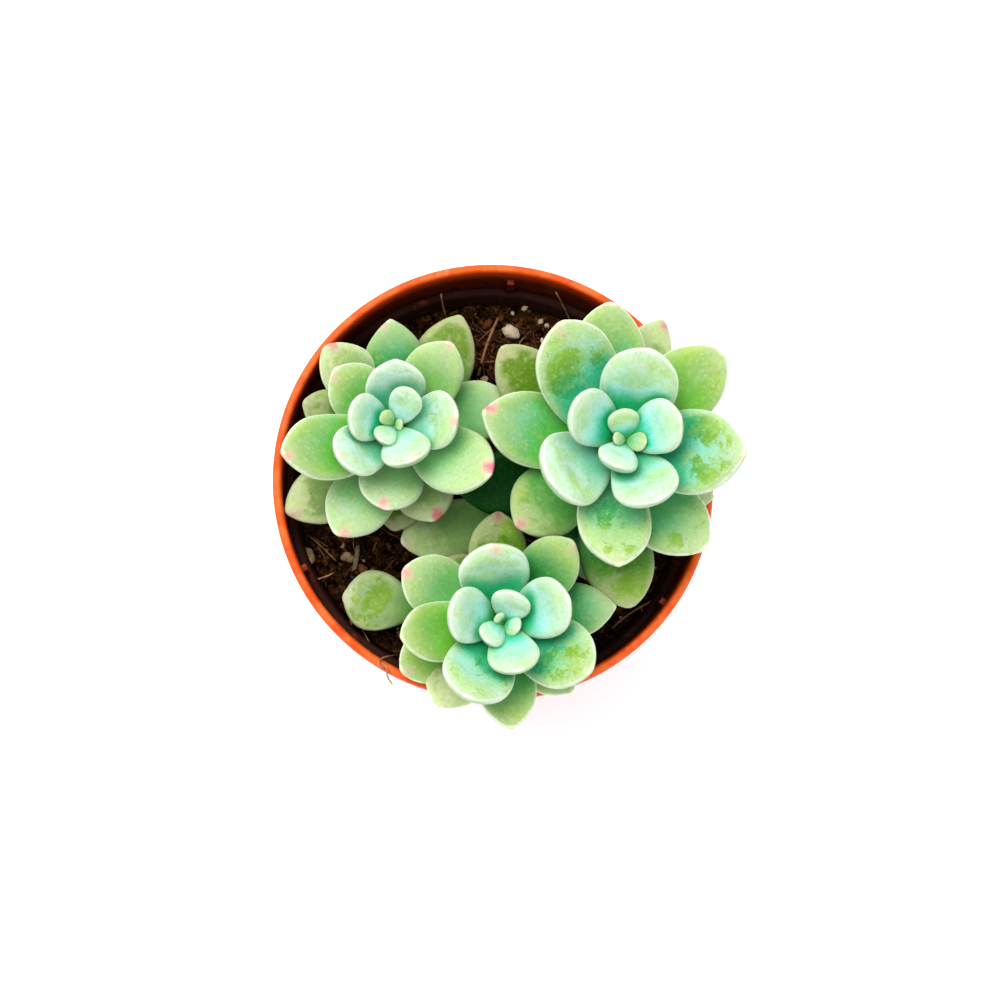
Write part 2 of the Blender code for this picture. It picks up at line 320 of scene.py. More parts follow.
def blotches_group():
    group, given, out = new_group("Blotches", {"Size": 5.0, "Cover": 0.5, "Softness": 0.03}, "Mask")
    scale = maths(group, "DIVIDE", 1000.0, given["Size"])
    pattern = cloud(group, given["Vector"], scale, 7.0, 0.68, 0.4)
    middle = maths(group, "MULTIPLY_ADD", given["Cover"], -0.5, 0.75)
    low = minus(group, middle, given["Softness"])
    high = plus(group, middle, given["Softness"])
    feed(group, out, ease(group, pattern, low, high))
    return group


def grit_group():
    group, given, out = new_group("Grit", {"Size": 1.0, "Share": 0.3}, "Mask")
    dots = add(group, "TexVoronoi")
    feed(group, dots.inputs["Vector"], given["Vector"])
    feed(group, dots.inputs["Scale"], maths(group, "DIVIDE", 1000.0, given["Size"]))
    chance = add(group, "SeparateColor")
    feed(group, chance.inputs[0], dots.outputs["Color"])
    kept = maths(group, "LESS_THAN", chance.outputs[0], given["Share"])
    reach = maths(group, "MULTIPLY_ADD", chance.outputs[1], 0.3, 0.1)
    inside = ease(group, dots.outputs["Distance"], reach, 0.02)
    feed(group, out, times(group, inside, kept))
    return group


def hairlines_group():
    group, given, out = new_group("Hairlines", {"Size": 6.0, "Width": 0.03, "Cover": 0.4}, "Mask")
    bend = add(group, "TexNoise")
    feed(group, bend.inputs["Vector"], given["Vector"])
    feed(group, bend.inputs["Scale"], maths(group, "DIVIDE", 900.0, given["Size"]))
    bent = add(group, "VectorMath", operation="MULTIPLY_ADD")
    feed(group, bent.inputs[0], bend.outputs["Color"])
    bent.inputs[1].default_value = (0.004, 0.004, 0.004)
    feed(group, bent.inputs[2], given["Vector"])
    cells = add(group, "TexVoronoi", feature="DISTANCE_TO_EDGE")
    feed(group, cells.inputs["Vector"], bent.outputs[0])
    feed(group, cells.inputs["Scale"], maths(group, "DIVIDE", 1000.0, given["Size"]))
    line = ease(group, cells.outputs[0], given["Width"], 0.0)
    pattern = cloud(group, given["Vector"], maths(group, "DIVIDE", 1400.0, given["Size"]), 2.0)
    middle = maths(group, "MULTIPLY_ADD", given["Cover"], -0.5, 0.75)
    shown = ease(group, pattern, middle, plus(group, middle, 0.04))
    feed(group, out, times(group, line, shown))
    return group


def grain_group():
    group, given, out = new_group("Grain", {"Size": 1.0, "Roughness": 0.6}, "Height")
    scale = maths(group, "DIVIDE", 1000.0, given["Size"])
    feed(group, out, cloud(group, given["Vector"], scale, 4.0, given["Roughness"]))
    return group


BLOTCHES, GRIT, HAIRLINES, GRAIN = blotches_group(), grit_group(), hairlines_group(), grain_group()
print("shared effects:", [group.name for group in (BLOTCHES, GRIT, HAIRLINES, GRAIN)])

# %% [markdown]
# ## The pot's plastic
# Nursery pots are injection-moulded polypropylene: thin, saturated orange, with a soft gloss that handling
# dulls. Peat splashes dry on the inside above the soil, the lip is scuffed paler, and lime from watering
# leaves a faint bloom near the drain holes. The inner wall is painted darker below the lip, as painted
# shade. All of it is masks on the object's own coordinates, and the mesh says what is inside.

# %% Orange plastic
ORANGE = (0.58, 0.082, 0.004)
ORANGE_DEEP = (0.46, 0.052, 0.003)
# painted shade for the inside wall below the lip
INNER_PAINTED_SHADE = (0.12, 0.013, 0.003)
ORANGE_SCUFFED = (0.70, 0.18, 0.05)
DRIED_PEAT = (0.020, 0.009, 0.005)
LIME = (0.62, 0.50, 0.40)
SPLASH_H, BLOOM_H = 12 * MM, 14 * MM       # splashes over the soil, and lime over the floor


def orange_plastic(lip_z, soil_z):
    """lip_z and soil_z are heights in metres."""
    material, tree, shader, place = new_finish("orange_plastic", 0.34)
    height = add(tree, "SeparateXYZ")
    feed(tree, height.inputs[0], place)
    z = height.outputs[2]
    inside = reading(tree, "inside")
    colour = mixed(tree, placed(tree, BLOTCHES, Vector=place, Size=40.0, Cover=0.5, Softness=0.3),
                   ORANGE, ORANGE_DEEP)
    # painted shade: the inside wall turns darker from just below the lip downwards
    shade_below_lip = ease(tree, z, lip_z - 0.4 * MM, lip_z - 5.0 * MM)
    colour = mixed(tree, times(tree, inside, shade_below_lip), colour, INNER_PAINTED_SHADE)
    lip = ease(tree, z, lip_z - 0.8 * MM, lip_z)
    scuffs = placed(tree, BLOTCHES, Vector=place, Size=5.0, Cover=0.45, Softness=0.1)
    scuffed = times(tree, lip, times(tree, scuffs, 0.45))
    scratches = placed(tree, HAIRLINES, Vector=place, Size=15.0, Width=0.006, Cover=0.25)
    colour = mixed(tree, larger(tree, scuffed, times(tree, scratches, 0.35)),
                   colour, ORANGE_SCUFFED)
    splash = ease(tree, z, soil_z + SPLASH_H, soil_z + 1 * MM)
    stain = placed(tree, BLOTCHES, Vector=place, Size=3.5, Cover=times(tree, splash, 0.8),
                   Softness=0.08)
    stain = times(tree, stain, times(tree, inside, splash))
    low = ease(tree, z, BLOOM_H, 0.0)
    bloom = placed(tree, BLOTCHES, Vector=place, Size=7.0, Cover=times(tree, low, 0.55), Softness=0.15)
    dust = placed(tree, GRIT, Vector=place, Size=1.3, Share=0.10)
    colour = coated(tree, colour, (times(tree, stain, 0.9), DRIED_PEAT), (times(tree, bloom, 0.35), LIME),
                    (times(tree, dust, 0.5), DRIED_PEAT))
    feed(tree, shader.inputs["Base Color"], colour)
    dull = plus(tree, times(tree, scuffed, 0.5), times(tree, stain, 0.4))
    smear = placed(tree, BLOTCHES, Vector=place, Size=12.0, Cover=0.5, Softness=0.2)
    gloss = maths(tree, "MULTIPLY_ADD", smear, 0.14, 0.27)
    feed(tree, shader.inputs["Roughness"], maths(tree, "ADD", gloss, dull, clamp=True))
    skin = placed(tree, GRAIN, Vector=place, Size=0.9, Roughness=0.5)
    marks = minus(tree, times(tree, skin, 0.35), times(tree, scratches, 0.5))
    relief(tree, shader, plus(tree, marks, stain), 0.06 * MM)
    shader.inputs["Specular IOR Level"].default_value = 0.2
    return material


# %% [markdown]
# ## The pot
# The real pot is one moulded shell: a rolled lip, a tall collar that lets pots stack, a ledge below it, a
# tapering body and a floor with drain holes. It could be a Screw modifier, but spinning the profile in a
# bmesh lets the corners be bevelled straight after. It follows the CAD pot's sizes with more facets and
# rounded corners.

# %% Turn the pot
pot_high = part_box("pot")[1]
LIP_R = pot_high.x / MM
POT_H = pot_high.z / MM
LIP_T = 1.7
LIP_INNER_R = LIP_R - LIP_T
LIP_H = 3.4
COLLAR_FOOT_Z, COLLAR_FOOT_R = 64.2, 41.2
LEDGE_Z, LEDGE_R = 65.2, 38.6
BODY_TOP_R = 39.9
BASE_R = 30.0
FLOOR_T, FLOOR_IN_R = 1.6, 28.6
DRAIN_COUNT, DRAIN_RING_R, DRAIN_R = 6, 19.0, 3.0
SOIL_Z = 62.0
POT_STEPS = 144
CORNER_ANGLE, CREASE_ANGLE = radians(28), radians(35)  # sharper edges are rounded, or shaded as edges
CORNER_R = 0.22
LUG_COUNT, LUG_START = 3, 85               # stacking lugs inside the collar, and the first one's direction
LUG_W, LUG_DEEP, LUG_FOOT_Z, LUG_TOP_Z = 1.5, 0.8, 65.4, 72.0


def turned(profile, steps, rounding=0.0):
    """Spins (radius, height) points in millimetres into a closed shell, and rounds its sharp corners."""
    shape = bmesh.new()
    points = [shape.verts.new((r * MM, 0, z * MM)) for r, z in profile]
    edges = [shape.edges.new(pair) for pair in zip(points, points[1:])]
    bmesh.ops.spin(shape, geom=points + edges, cent=(0, 0, 0), axis=(0, 0, 1), angle=2 * pi, steps=steps,
                   use_merge=True)
    bmesh.ops.remove_doubles(shape, verts=shape.verts, dist=1e-6)
    bmesh.ops.recalc_face_normals(shape, faces=shape.faces)
    if rounding:
        corners = [e for e in shape.edges if len(e.link_faces) == 2 and e.calc_face_angle() > CORNER_ANGLE
                   and abs(e.verts[0].co.z - e.verts[1].co.z) < 1e-7]
        bmesh.ops.bevel(shape, geom=corners, offset=rounding * MM, segments=3, profile=0.5, affect="EDGES",
                        material=-1, clamp_overlap=True)
    return shape


def turned_pot():
    profile = [
        (0, FLOOR_T), (FLOOR_IN_R, FLOOR_T), (FLOOR_IN_R + 0.9, FLOOR_T + 1.1),
        (LEDGE_R, LEDGE_Z - 0.5), (LEDGE_R + 0.3, LEDGE_Z), (LIP_INNER_R - 0.7, LEDGE_Z + 0.2),
        (LIP_INNER_R - 0.2, POT_H - 3.0), (LIP_INNER_R, POT_H - 0.5), (LIP_INNER_R + 0.4, POT_H),
        (LIP_R - 0.5, POT_H), (LIP_R, POT_H - 0.5), (LIP_R, POT_H - LIP_H + 0.5),
        (LIP_R - 0.5, POT_H - LIP_H), (COLLAR_FOOT_R, COLLAR_FOOT_Z + 0.4),
        (COLLAR_FOOT_R - 0.4, COLLAR_FOOT_Z), (BODY_TOP_R, COLLAR_FOOT_Z - 0.2), (BASE_R, 1.4),
        (BASE_R - 0.8, 0), (0, 0),
    ]
    return turned(profile, POT_STEPS, CORNER_R)


def stacking_lug(shape, direction):
    """A small rib moulded inside the collar, which keeps stacked pots from wedging."""
    made = bmesh.ops.create_cube(shape, size=1.0)["verts"]
    size = (2 * LUG_DEEP * MM, LUG_W * MM, (LUG_TOP_Z - LUG_FOOT_Z) * MM)
    bmesh.ops.scale(shape, verts=made, vec=size)
    edges = list(dict.fromkeys(e for v in made for e in v.link_edges))
    bevelled = bmesh.ops.bevel(shape, geom=edges, offset=0.3 * MM, segments=3, profile=0.5, affect="EDGES",
                               material=-1, clamp_overlap=True)
    made = list(dict.fromkeys(v for f in bevelled["faces"] for v in f.verts))
    place = Vector(((LIP_INNER_R - 0.6) * MM, 0, (LUG_FOOT_Z + LUG_TOP_Z) / 2 * MM))
    bmesh.ops.translate(shape, verts=made, vec=place)
    bmesh.ops.rotate(shape, verts=made, cent=(0, 0, 0), matrix=Matrix.Rotation(radians(direction), 3, "Z"))


def with_holes(obj, holes):
    """Cuts the bmesh of cutters out of the object, works the cut in, and removes the cutter."""
    cutter = object_of("cutter", holes)
    cut = obj.modifiers.new("Holes", "BOOLEAN")
    cut.object = cutter
    cut.solver = "EXACT"
    finished = bpy.data.meshes.new_from_object(obj.evaluated_get(bpy.context.evaluated_depsgraph_get()))
    obj.modifiers.clear()
    obj.data = finished
    bpy.data.objects.remove(cutter, do_unlink=True)


def wall_middle_r(z):
    """Radius of the middle of the pot's wall at this height, in millimetres."""
    if z > COLLAR_FOOT_Z + 0.3:
        return LIP_R - 1.15 if z > POT_H - LIP_H else COLLAR_FOOT_R - 0.35
    return BASE_R - 0.75 + (BODY_TOP_R - BASE_R) * (z - 1.4) / (COLLAR_FOOT_Z - 1.6)


pot_shape = turned_pot()
pot = object_of("moulded_pot", pot_shape, orange_plastic(POT_H * MM, SOIL_Z * MM))
drains = bmesh.new()
for k in range(DRAIN_COUNT):
    turn = 2 * pi * (k + 0.5) / DRAIN_COUNT
    made = bmesh.ops.create_cone(drains, cap_ends=True, segments=40, radius1=DRAIN_R * MM,
                                 radius2=DRAIN_R * MM, depth=8 * MM)["verts"]
    spot = (DRAIN_RING_R * cos(turn) * MM, DRAIN_RING_R * sin(turn) * MM, 0)
    bmesh.ops.translate(drains, verts=made, vec=spot)
with_holes(pot, drains)
pot_shape = bmesh.new()
pot_shape.from_mesh(pot.data)
for k in range(LUG_COUNT):
    stacking_lug(pot_shape, LUG_START + 360 * k / LUG_COUNT)
inside_layer = pot_shape.verts.layers.float.new("inside")
for v in pot_shape.verts:
    r, z = hypot(v.co.x, v.co.y) / MM, v.co.z / MM
    v[inside_layer] = 1.0 if z > 0.8 and r < wall_middle_r(z) else 0.0
for face in pot_shape.faces:
    face.smooth = True
for edge in pot_shape.edges:
    edge.smooth = not (len(edge.link_faces) == 2 and edge.calc_face_angle() > CREASE_ANGLE)
pot_shape.to_mesh(pot.data)
pot_shape.free()
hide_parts("pot")
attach(pot, "root")
print("pot:", len(pot.data.polygons), "faces")

# %% [markdown]
# ## The peat
# Potting soil here is dark fibrous peat with red-brown bits of coir and a pinch of white perlite. Its
# colour is a few browns mixed by blotches, with tan flecks. Crumbs carry a shade of their own, so that one
# function makes both finishes.

# %% Peat colours
PEAT_DARK = (0.0035, 0.0018, 0.0010)
PEAT_BROWN = (0.046, 0.021, 0.008)
PEAT_RED = (0.22, 0.085, 0.024)
PEAT_TAN = (0.42, 0.26, 0.11)


def peat(name, grain_size):
    """Peat; crumbs carry a shade of their own from 0, black, to 1, tan."""
    material, tree, shader, place = new_finish(name, 0.93)
    clods = placed(tree, BLOTCHES, Vector=place, Size=grain_size * 2.5, Cover=0.5, Softness=0.08)
    fibres = placed(tree, BLOTCHES, Vector=place, Size=grain_size * 1.4, Cover=0.36, Softness=0.05)
    shade = reading(tree, "shade")
    flecks = placed(tree, GRIT, Vector=place, Size=0.7, Share=0.10)
    colour = coated(tree, PEAT_DARK, (clods, PEAT_BROWN), (times(tree, fibres, 0.7), PEAT_RED),
                    (ease(tree, shade, 0.45, 0.9), PEAT_RED), (ease(tree, shade, 0.86, 1.0), PEAT_TAN),
                    (times(tree, flecks, 0.7), PEAT_TAN))
    feed(tree, shader.inputs["Base Color"], colour)
    rough = placed(tree, GRAIN, Vector=place, Size=grain_size, Roughness=0.75)
    relief(tree, shader, rough, 0.7 * MM)
    shader.inputs["Specular IOR Level"].default_value = 0.05
    return material


# %% [markdown]
# ## The soil's surface
# Settled peat is lumpy in the middle and a little lower along the wall. The CAD's crossed waves give the
# large lumps, fractal noise adds clods, and both fade out before the wall so that the rim of the disc stays
# a clean circle.

# %% Lumpy soil surface
LUMP, CLOD = 0.9, 0.55
EDGE_DROP = 0.6                            # the soil lies this much lower along the wall
EDGE_Z = SOIL_Z - EDGE_DROP
LUMPS_R, LUMPS_FADE = 38.2, 5              # lumps fade out over the last of these millimetres
WALL_GAP = 0.36
SIDE_HEIGHTS = (55, 45, 30, 15, 4.5)
SOIL_STEPS, SOIL_RINGS = 168, 66


def soil_wall_r(z):
    """Radius of the soil's side at this height, clear of the pot's wall."""
    slope = (LEDGE_R - FLOOR_IN_R - 0.9) / (LEDGE_Z - 0.5 - FLOOR_T - 1.1)
    return FLOOR_IN_R + 0.9 + slope * (z - FLOOR_T - 1.1) - WALL_GAP


def soil_height(x, y):
    """Height of the soil in millimetres: the CAD's crossed waves, and finer clods on them."""
    waves = LUMP * (0.55 * sin(0.31 * x + 1.3) * cos(0.27 * y - 0.4) + 0.45 * sin(0.53 * x - 0.47 * y + 2.1)
                    + 0.35 * cos(0.83 * x + 0.61 * y))
    clods = CLOD * noise.fractal(Vector((0.45 * x, 0.45 * y, 3.1)), 0.9, 2.1, 4)
    fade = min(1.0, max(0.0, (LUMPS_R - hypot(x, y)) / LUMPS_FADE))
    return SOIL_Z + fade * (waves + clods) - EDGE_DROP * (1 - fade)


def lumpy_soil():
    edge_r = soil_wall_r(EDGE_Z)
    rings = [(edge_r * k / SOIL_RINGS, SOIL_Z) for k in range(SOIL_RINGS + 1)]
    sides = [(soil_wall_r(z), z) for z in SIDE_HEIGHTS]
    bottom = [(r, FLOOR_T + 0.3) for r in (FLOOR_IN_R - 0.6, 15, 0)]
    shape = turned(rings + sides + bottom, SOIL_STEPS)
    for v in shape.verts:
        if v.co.z > (SOIL_Z - 0.1) * MM:
            v.co.z = soil_height(v.co.x / MM, v.co.y / MM) * MM
    return shape


soil_shape = lumpy_soil()
soil_shape.verts.layers.float.new("shade")
soil = object_of("peat_surface", soil_shape, peat("peat", 0.9))
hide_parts("soil")
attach(soil, "root")
print("soil:", len(soil.data.polygons), "faces")

# %% [markdown]
# ## Crumbs of peat
# Loose crumbs break the surface up. Each is a ball with few faces, flattened, turned and dented by noise.
# Crumbs carry a random shade, drawn from a seeded source so that every run gives the same soil.

# %% Crumbs of peat
CRUMB_COUNT = 900
CRUMB_SMALLEST, CRUMB_LARGEST = 0.28, 1.5
CRUMB_REACH, FIBRE_REACH, FIBRE_END_REACH = 36.8, 35.5, 36.5
STEM_FEET = ((3.0, -6.0), (-11.0, 6.5), (0.5, -17.5))
STEM_CLEAR = 3.2
draw = Random(7)


def spot_on_soil(reach=CRUMB_REACH):
    """A random place on the soil, clear of the stems."""
    while True:
        x, y = draw.uniform(-reach, reach), draw.uniform(-reach, reach)
        if hypot(x, y) < reach and all(hypot(x - a, y - b) > STEM_CLEAR for a, b in STEM_FEET):
            return x, y


def add_balls(shape, round_about, count):
    """Adds this many unit balls of (segments, rings), and returns the vertices of each."""
    ball = bmesh.new()
    bmesh.ops.create_uvsphere(ball, u_segments=round_about[0], v_segments=round_about[1], radius=1)
    mesh = bpy.data.meshes.new("ball")
    ball.to_mesh(mesh)
    ball.free()
    before, each = len(shape.verts), len(mesh.vertices)
    for _ in range(count):
        shape.from_mesh(mesh)
    bpy.data.meshes.remove(mesh)
    verts = list(shape.verts)[before:]
    return [verts[each * k:each * (k + 1)] for k in range(count)]


def dent(ball, place, size, depth, turned_by=None):
    """Works a unit ball into a dented lump: its place and half-sizes are in millimetres."""
    shift = Vector((draw.uniform(-50, 50), draw.uniform(-50, 50), draw.uniform(-50, 50)))
    spin = turned_by or Matrix.Rotation(draw.uniform(0, 2 * pi), 3,
                                        Vector((draw.gauss(0, 1), draw.gauss(0, 1), 1)))
    for v in ball:
        swell = 1 + depth * noise.fractal(v.co * 1.3 + shift, 0.8, 2.0, 3)
        v.co = (spin @ (v.co * swell * Vector(size)) + Vector(place)) * MM


def soil_crumbs():
    shape = bmesh.new()
    shade = shape.verts.layers.float.new("shade")
    for ball in add_balls(shape, (7, 5), CRUMB_COUNT):
        x, y = spot_on_soil()
        r = CRUMB_SMALLEST + (CRUMB_LARGEST - CRUMB_SMALLEST) * draw.random()**2.8
        size = (r, r * draw.uniform(0.6, 1.0), r * draw.uniform(0.45, 0.8))
        dent(ball, (x, y, soil_height(x, y) + r * draw.uniform(-0.1, 0.45)), size, 0.45)
        tone = draw.random()**1.3
        for v in ball:
            v[shade] = tone
    return shape


crumbs = object_of("peat_crumbs", soil_crumbs(), peat("peat_crumb", 0.5))
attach(crumbs, "root")
print("crumbs:", CRUMB_COUNT, "in", len(crumbs.data.polygons), "faces")

# %% [markdown]
# ## Perlite and bark
# Perlite is puffed volcanic glass, white and pitted; the tan grains are bark. Both are dented balls with
# more faces than the crumbs. The large ones lie where the photograph shows them, and small ones are
# scattered.

# %% Perlite and grains
# Placed where the photograph shows them: (pixel x, pixel y, half-sizes in millimetres, turn in degrees)
PERLITE = (
    (511, 332, (1.75, 1.35, 1.1), -30), (525, 307, (0.8, 0.45, 0.4), 35), (541, 321, (0.65, 0.5, 0.4), 60),
    (547, 325, (0.55, 0.5, 0.4), 0), (543, 341, (0.5, 0.75, 0.4), 10), (497, 322, (0.6, 0.35, 0.3), -50),
)
PALE_GRAINS = (
    (309, 555, (1.05, 1.75, 0.8), 20), (346, 556, (1.15, 0.8, 0.6), 25), (342, 545, (0.7, 0.6, 0.4), 0),
    (353, 576, (0.5, 0.5, 0.4), 0), (457, 360, (0.45, 0.4, 0.3), 0), (484, 380, (0.9, 0.7, 0.5), 40),
)
SMALL_PERLITE, PERLITE_LARGEST = 34, 0.55
SMALL_GRAINS, GRAIN_LARGEST = 16, 0.6


def pale_stone(name, colour, shadow, roughness):
    """Perlite or bark: pale, with darker pores and a rough skin."""
    material, tree, shader, place = new_finish(name, roughness)
    pores = placed(tree, GRIT, Vector=place, Size=0.45, Share=0.6)
    stain = placed(tree, BLOTCHES, Vector=place, Size=1.4, Cover=0.45, Softness=0.14)
    tint = mixed(tree, times(tree, stain, 0.6), colour, shadow)
    feed(tree, shader.inputs["Base Color"], mixed(tree, times(tree, pores, 0.5), tint, shadow))
    rough = placed(tree, GRAIN, Vector=place, Size=0.5, Roughness=0.7)
    relief(tree, shader, minus(tree, rough, times(tree, pores, 0.5)), 0.25 * MM)
    return material


def stones(listed, extra, largest):
    shape = bmesh.new()
    for ball, (px, py, size, turn) in zip(add_balls(shape, (24, 16), len(listed)), listed):
        place = seen_at(px, py, SOIL_Z * MM + 0.5 * MM) / MM
        place.z = soil_height(place.x, place.y) + size[2] * 0.55
        dent(ball, place, size, 0.22, Matrix.Rotation(radians(turn), 3, "Z"))
    for ball in add_balls(shape, (8, 6), extra):
        x, y = spot_on_soil()
        r = largest * draw.uniform(0.35, 1.0)
        dent(ball, (x, y, soil_height(x, y) + r * 0.3), (r, r * 0.8, r * 0.6), 0.4)
    return shape


perlite = object_of("perlite", stones(PERLITE, SMALL_PERLITE, PERLITE_LARGEST),
                    pale_stone("perlite_white", (0.58, 0.49, 0.36), (0.28, 0.20, 0.12), 0.85))
grains = object_of("bark_grains", stones(PALE_GRAINS, SMALL_GRAINS, GRAIN_LARGEST),
                   pale_stone("bark_tan", (0.40, 0.30, 0.17), (0.14, 0.08, 0.035), 0.8))
for piece in (perlite, grains):
    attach(piece, "root")
print("perlite and grains:", len(perlite.data.polygons) + len(grains.data.polygons), "faces")

# %% [markdown]
# ## Fibres
# Coir fibres, straws and a twig stick out of the peat, a few against the pot's wall and one curled over its
# lip. Each is a curve with a round bevel. The ones that show are set where the photograph has them, by a
# few points each, and a seeded scatter of short fibres fills the rest.

# %% Straws, roots and a twig
def fibre_finish(name, light, dark):
    material, tree, shader, place = new_finish(name, 0.75)
    streak = placed(tree, BLOTCHES, Vector=place, Size=2.2, Cover=0.5, Softness=0.2)
    feed(tree, shader.inputs["Base Color"], mixed(tree, streak, light, dark))
    relief(tree, shader, placed(tree, GRAIN, Vector=place, Size=0.35, Roughness=0.6), 0.08 * MM)
    return material


def tube_of(curve):
    """A bmesh of the curve's bevelled tubes, with closed ends, compact in its numbering."""
    helper = bpy.data.objects.new("line", curve)
    scene.collection.objects.link(helper)
    mesh = bpy.data.meshes.new_from_object(helper.evaluated_get(bpy.context.evaluated_depsgraph_get()))
    bpy.data.objects.remove(helper, do_unlink=True)
    shape = bmesh.new()
    shape.from_mesh(mesh)
    bmesh.ops.remove_doubles(shape, verts=shape.verts, dist=1e-7)
    shape.to_mesh(mesh)
    shape.clear()
    shape.from_mesh(mesh)
    bpy.data.meshes.remove(mesh)
    return shape


def strands(name, lines, sides, material):
    """Tubes along lists of (point, radius) in millimetres, as one mesh."""
    curve = bpy.data.curves.new(name, "CURVE")
    curve.dimensions = "3D"
    curve.bevel_depth = MM
    curve.bevel_resolution = sides
    curve.use_fill_caps = True
    curve.resolution_u = 3
    for line in lines:
        spline = curve.splines.new("NURBS")
        spline.points.add(len(line) - 1)
        spline.use_endpoint_u = True
        spline.order_u = 3
        for spot, (point, radius) in zip(spline.points, line):
            spot.co = (*(Vector(point) * MM), 1)
            spot.radius = radius
    obj = object_of(name, tube_of(curve), material)
    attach(obj, "root")
    print(name + ":", len(lines), "strands,", len(obj.data.polygons), "faces")
    return obj


def by_pixels(spots, radius):
    """A line through (pixel x, pixel y, height over the mean soil in millimetres)."""
    return [(seen_at(px, py, (SOIL_Z + over) * MM) / MM, radius) for px, py, over in spots]


def loose_fibre(longest, radius):
    """A short fibre that lies on the soil, wandering and lifting a little."""
    x, y = spot_on_soil(FIBRE_REACH)
    heading, line = draw.uniform(0, 2 * pi), []
    step = draw.uniform(0.4, 1.0) * longest / 4
    for k in range(5):
        over = 0.25 + draw.uniform(0, 0.5) * (k % 2)
        line.append(((x, y, soil_height(x, y) + over), radius * draw.uniform(0.7, 1.1)))
        heading += draw.uniform(-0.5, 0.5)
        x, y = x + step * cos(heading), y + step * sin(heading)
        if hypot(x, y) > FIBRE_END_REACH:
            break
    return line if len(line) > 2 else loose_fibre(longest, radius)


STRAWS = (
    (((441, 294, 7.0), (442, 304, 4.0), (446, 317, 0.5)), 0.19),
    (((556, 292, 9.0), (563, 305, 5.0), (571, 322, 0.5)), 0.17),
    (((309, 536, 1.5), (320, 544, 2.2), (336, 561, 0.6)), 0.13),
    (((350, 617, 1.5), (352, 625, 2.0), (352, 634, 0.4)), 0.19),
    (((361, 627, 1.5), (368, 640, 2.6), (377, 655, 3.0)), 0.13),
    (((309, 581, 0.6), (322, 579, 1.6), (334, 573, 0.6)), 0.20),
    (((641, 607, 1.4), (643, 615, 1.2), (647, 626, 1.8)), 0.16),
    (((612, 628, 1.0), (622, 619, 1.4), (634, 611, 1.8), (646, 604, 1.8), (656, 599, 1.4)), 0.22),
    (((545, 306, 1.0), (551, 301, 2.5), (558, 303, 3.0), (561, 310, 1.0)), 0.10),
)
CURLED_FIBRE = (
    ((398, 655, 4.0), (389, 656, 12.0), (381, 658, 14.2), (378, 664, 14.9), (381, 668, 14.9),
     (384, 663, 14.9), (388, 670, 14.8), (386, 676, 13.0), (392, 684, 9.0)), 0.15,
)
TWIG = (((498, 318, 1.4), (491, 334, 2.0), (484, 352, 1.6), (478, 376, 0.9)), 0.32)
STICK = (((358, 546, 0.6), (357, 556, 1.5), (355, 566, 1.6), (353, 578, 0.8)), 0.50)

COIR_COUNT, LOOSE_STRAW_COUNT = 150, 40

straw_finish = fibre_finish("straw", (0.45, 0.27, 0.12), (0.22, 0.10, 0.04))
coir_finish = fibre_finish("coir", (0.17, 0.065, 0.024), (0.06, 0.022, 0.010))
twig_finish = fibre_finish("twig_bark", (0.32, 0.15, 0.055), (0.12, 0.050, 0.020))
stick_finish = fibre_finish("grey_stick", (0.28, 0.22, 0.14), (0.12, 0.085, 0.05))
strands("straws", [by_pixels(*straw) for straw in STRAWS] + [by_pixels(*CURLED_FIBRE)], 2, straw_finish)
strands("twig", [by_pixels(*TWIG)], 3, twig_finish)
strands("stick", [by_pixels(*STICK)], 3, stick_finish)
strands("coir_fibres", [loose_fibre(9.0, 0.12) for _ in range(COIR_COUNT)], 0, coir_finish)
strands("loose_straws", [loose_fibre(7.0, 0.10) for _ in range(LOOSE_STRAW_COUNT)], 0, straw_finish)

# %% [markdown]
# ## Where the leaves go
# A sedum sets each new leaf a golden angle on from the last, 137.5 degrees, so no leaf shades the one
# below. The CAD places its leaves by that rule. Each visible leaf's tip and width were read off the
# photograph, and its turn off the spiral and its reach were worked out from the tip through the camera,
# then rounded. The same rule and rows are repeated here so that every fine leaf lies in the place of its
# plain one.

# %% The rule of the leaves
GOLDEN = 137.508
STEP_YOUNG, STEP_OLD, YOUNG_LEAVES = 0.30, 0.50, 4
AGE_OF_LIFT = (0, 1, 3, 4, 6, 8, 10, 12, 14, 17, 20, 24)
LIFT = (40, 42, 46, 44, 41, 36, 28, 20, 14, 8, 2, -4)
AGE_OF_CURL = (0, 4, 8, 12, 24)
CURL = (5, 20, 28, 24, 10)
STEM_TOP_R, STEM_FOOT_R = 1.5, 2.3

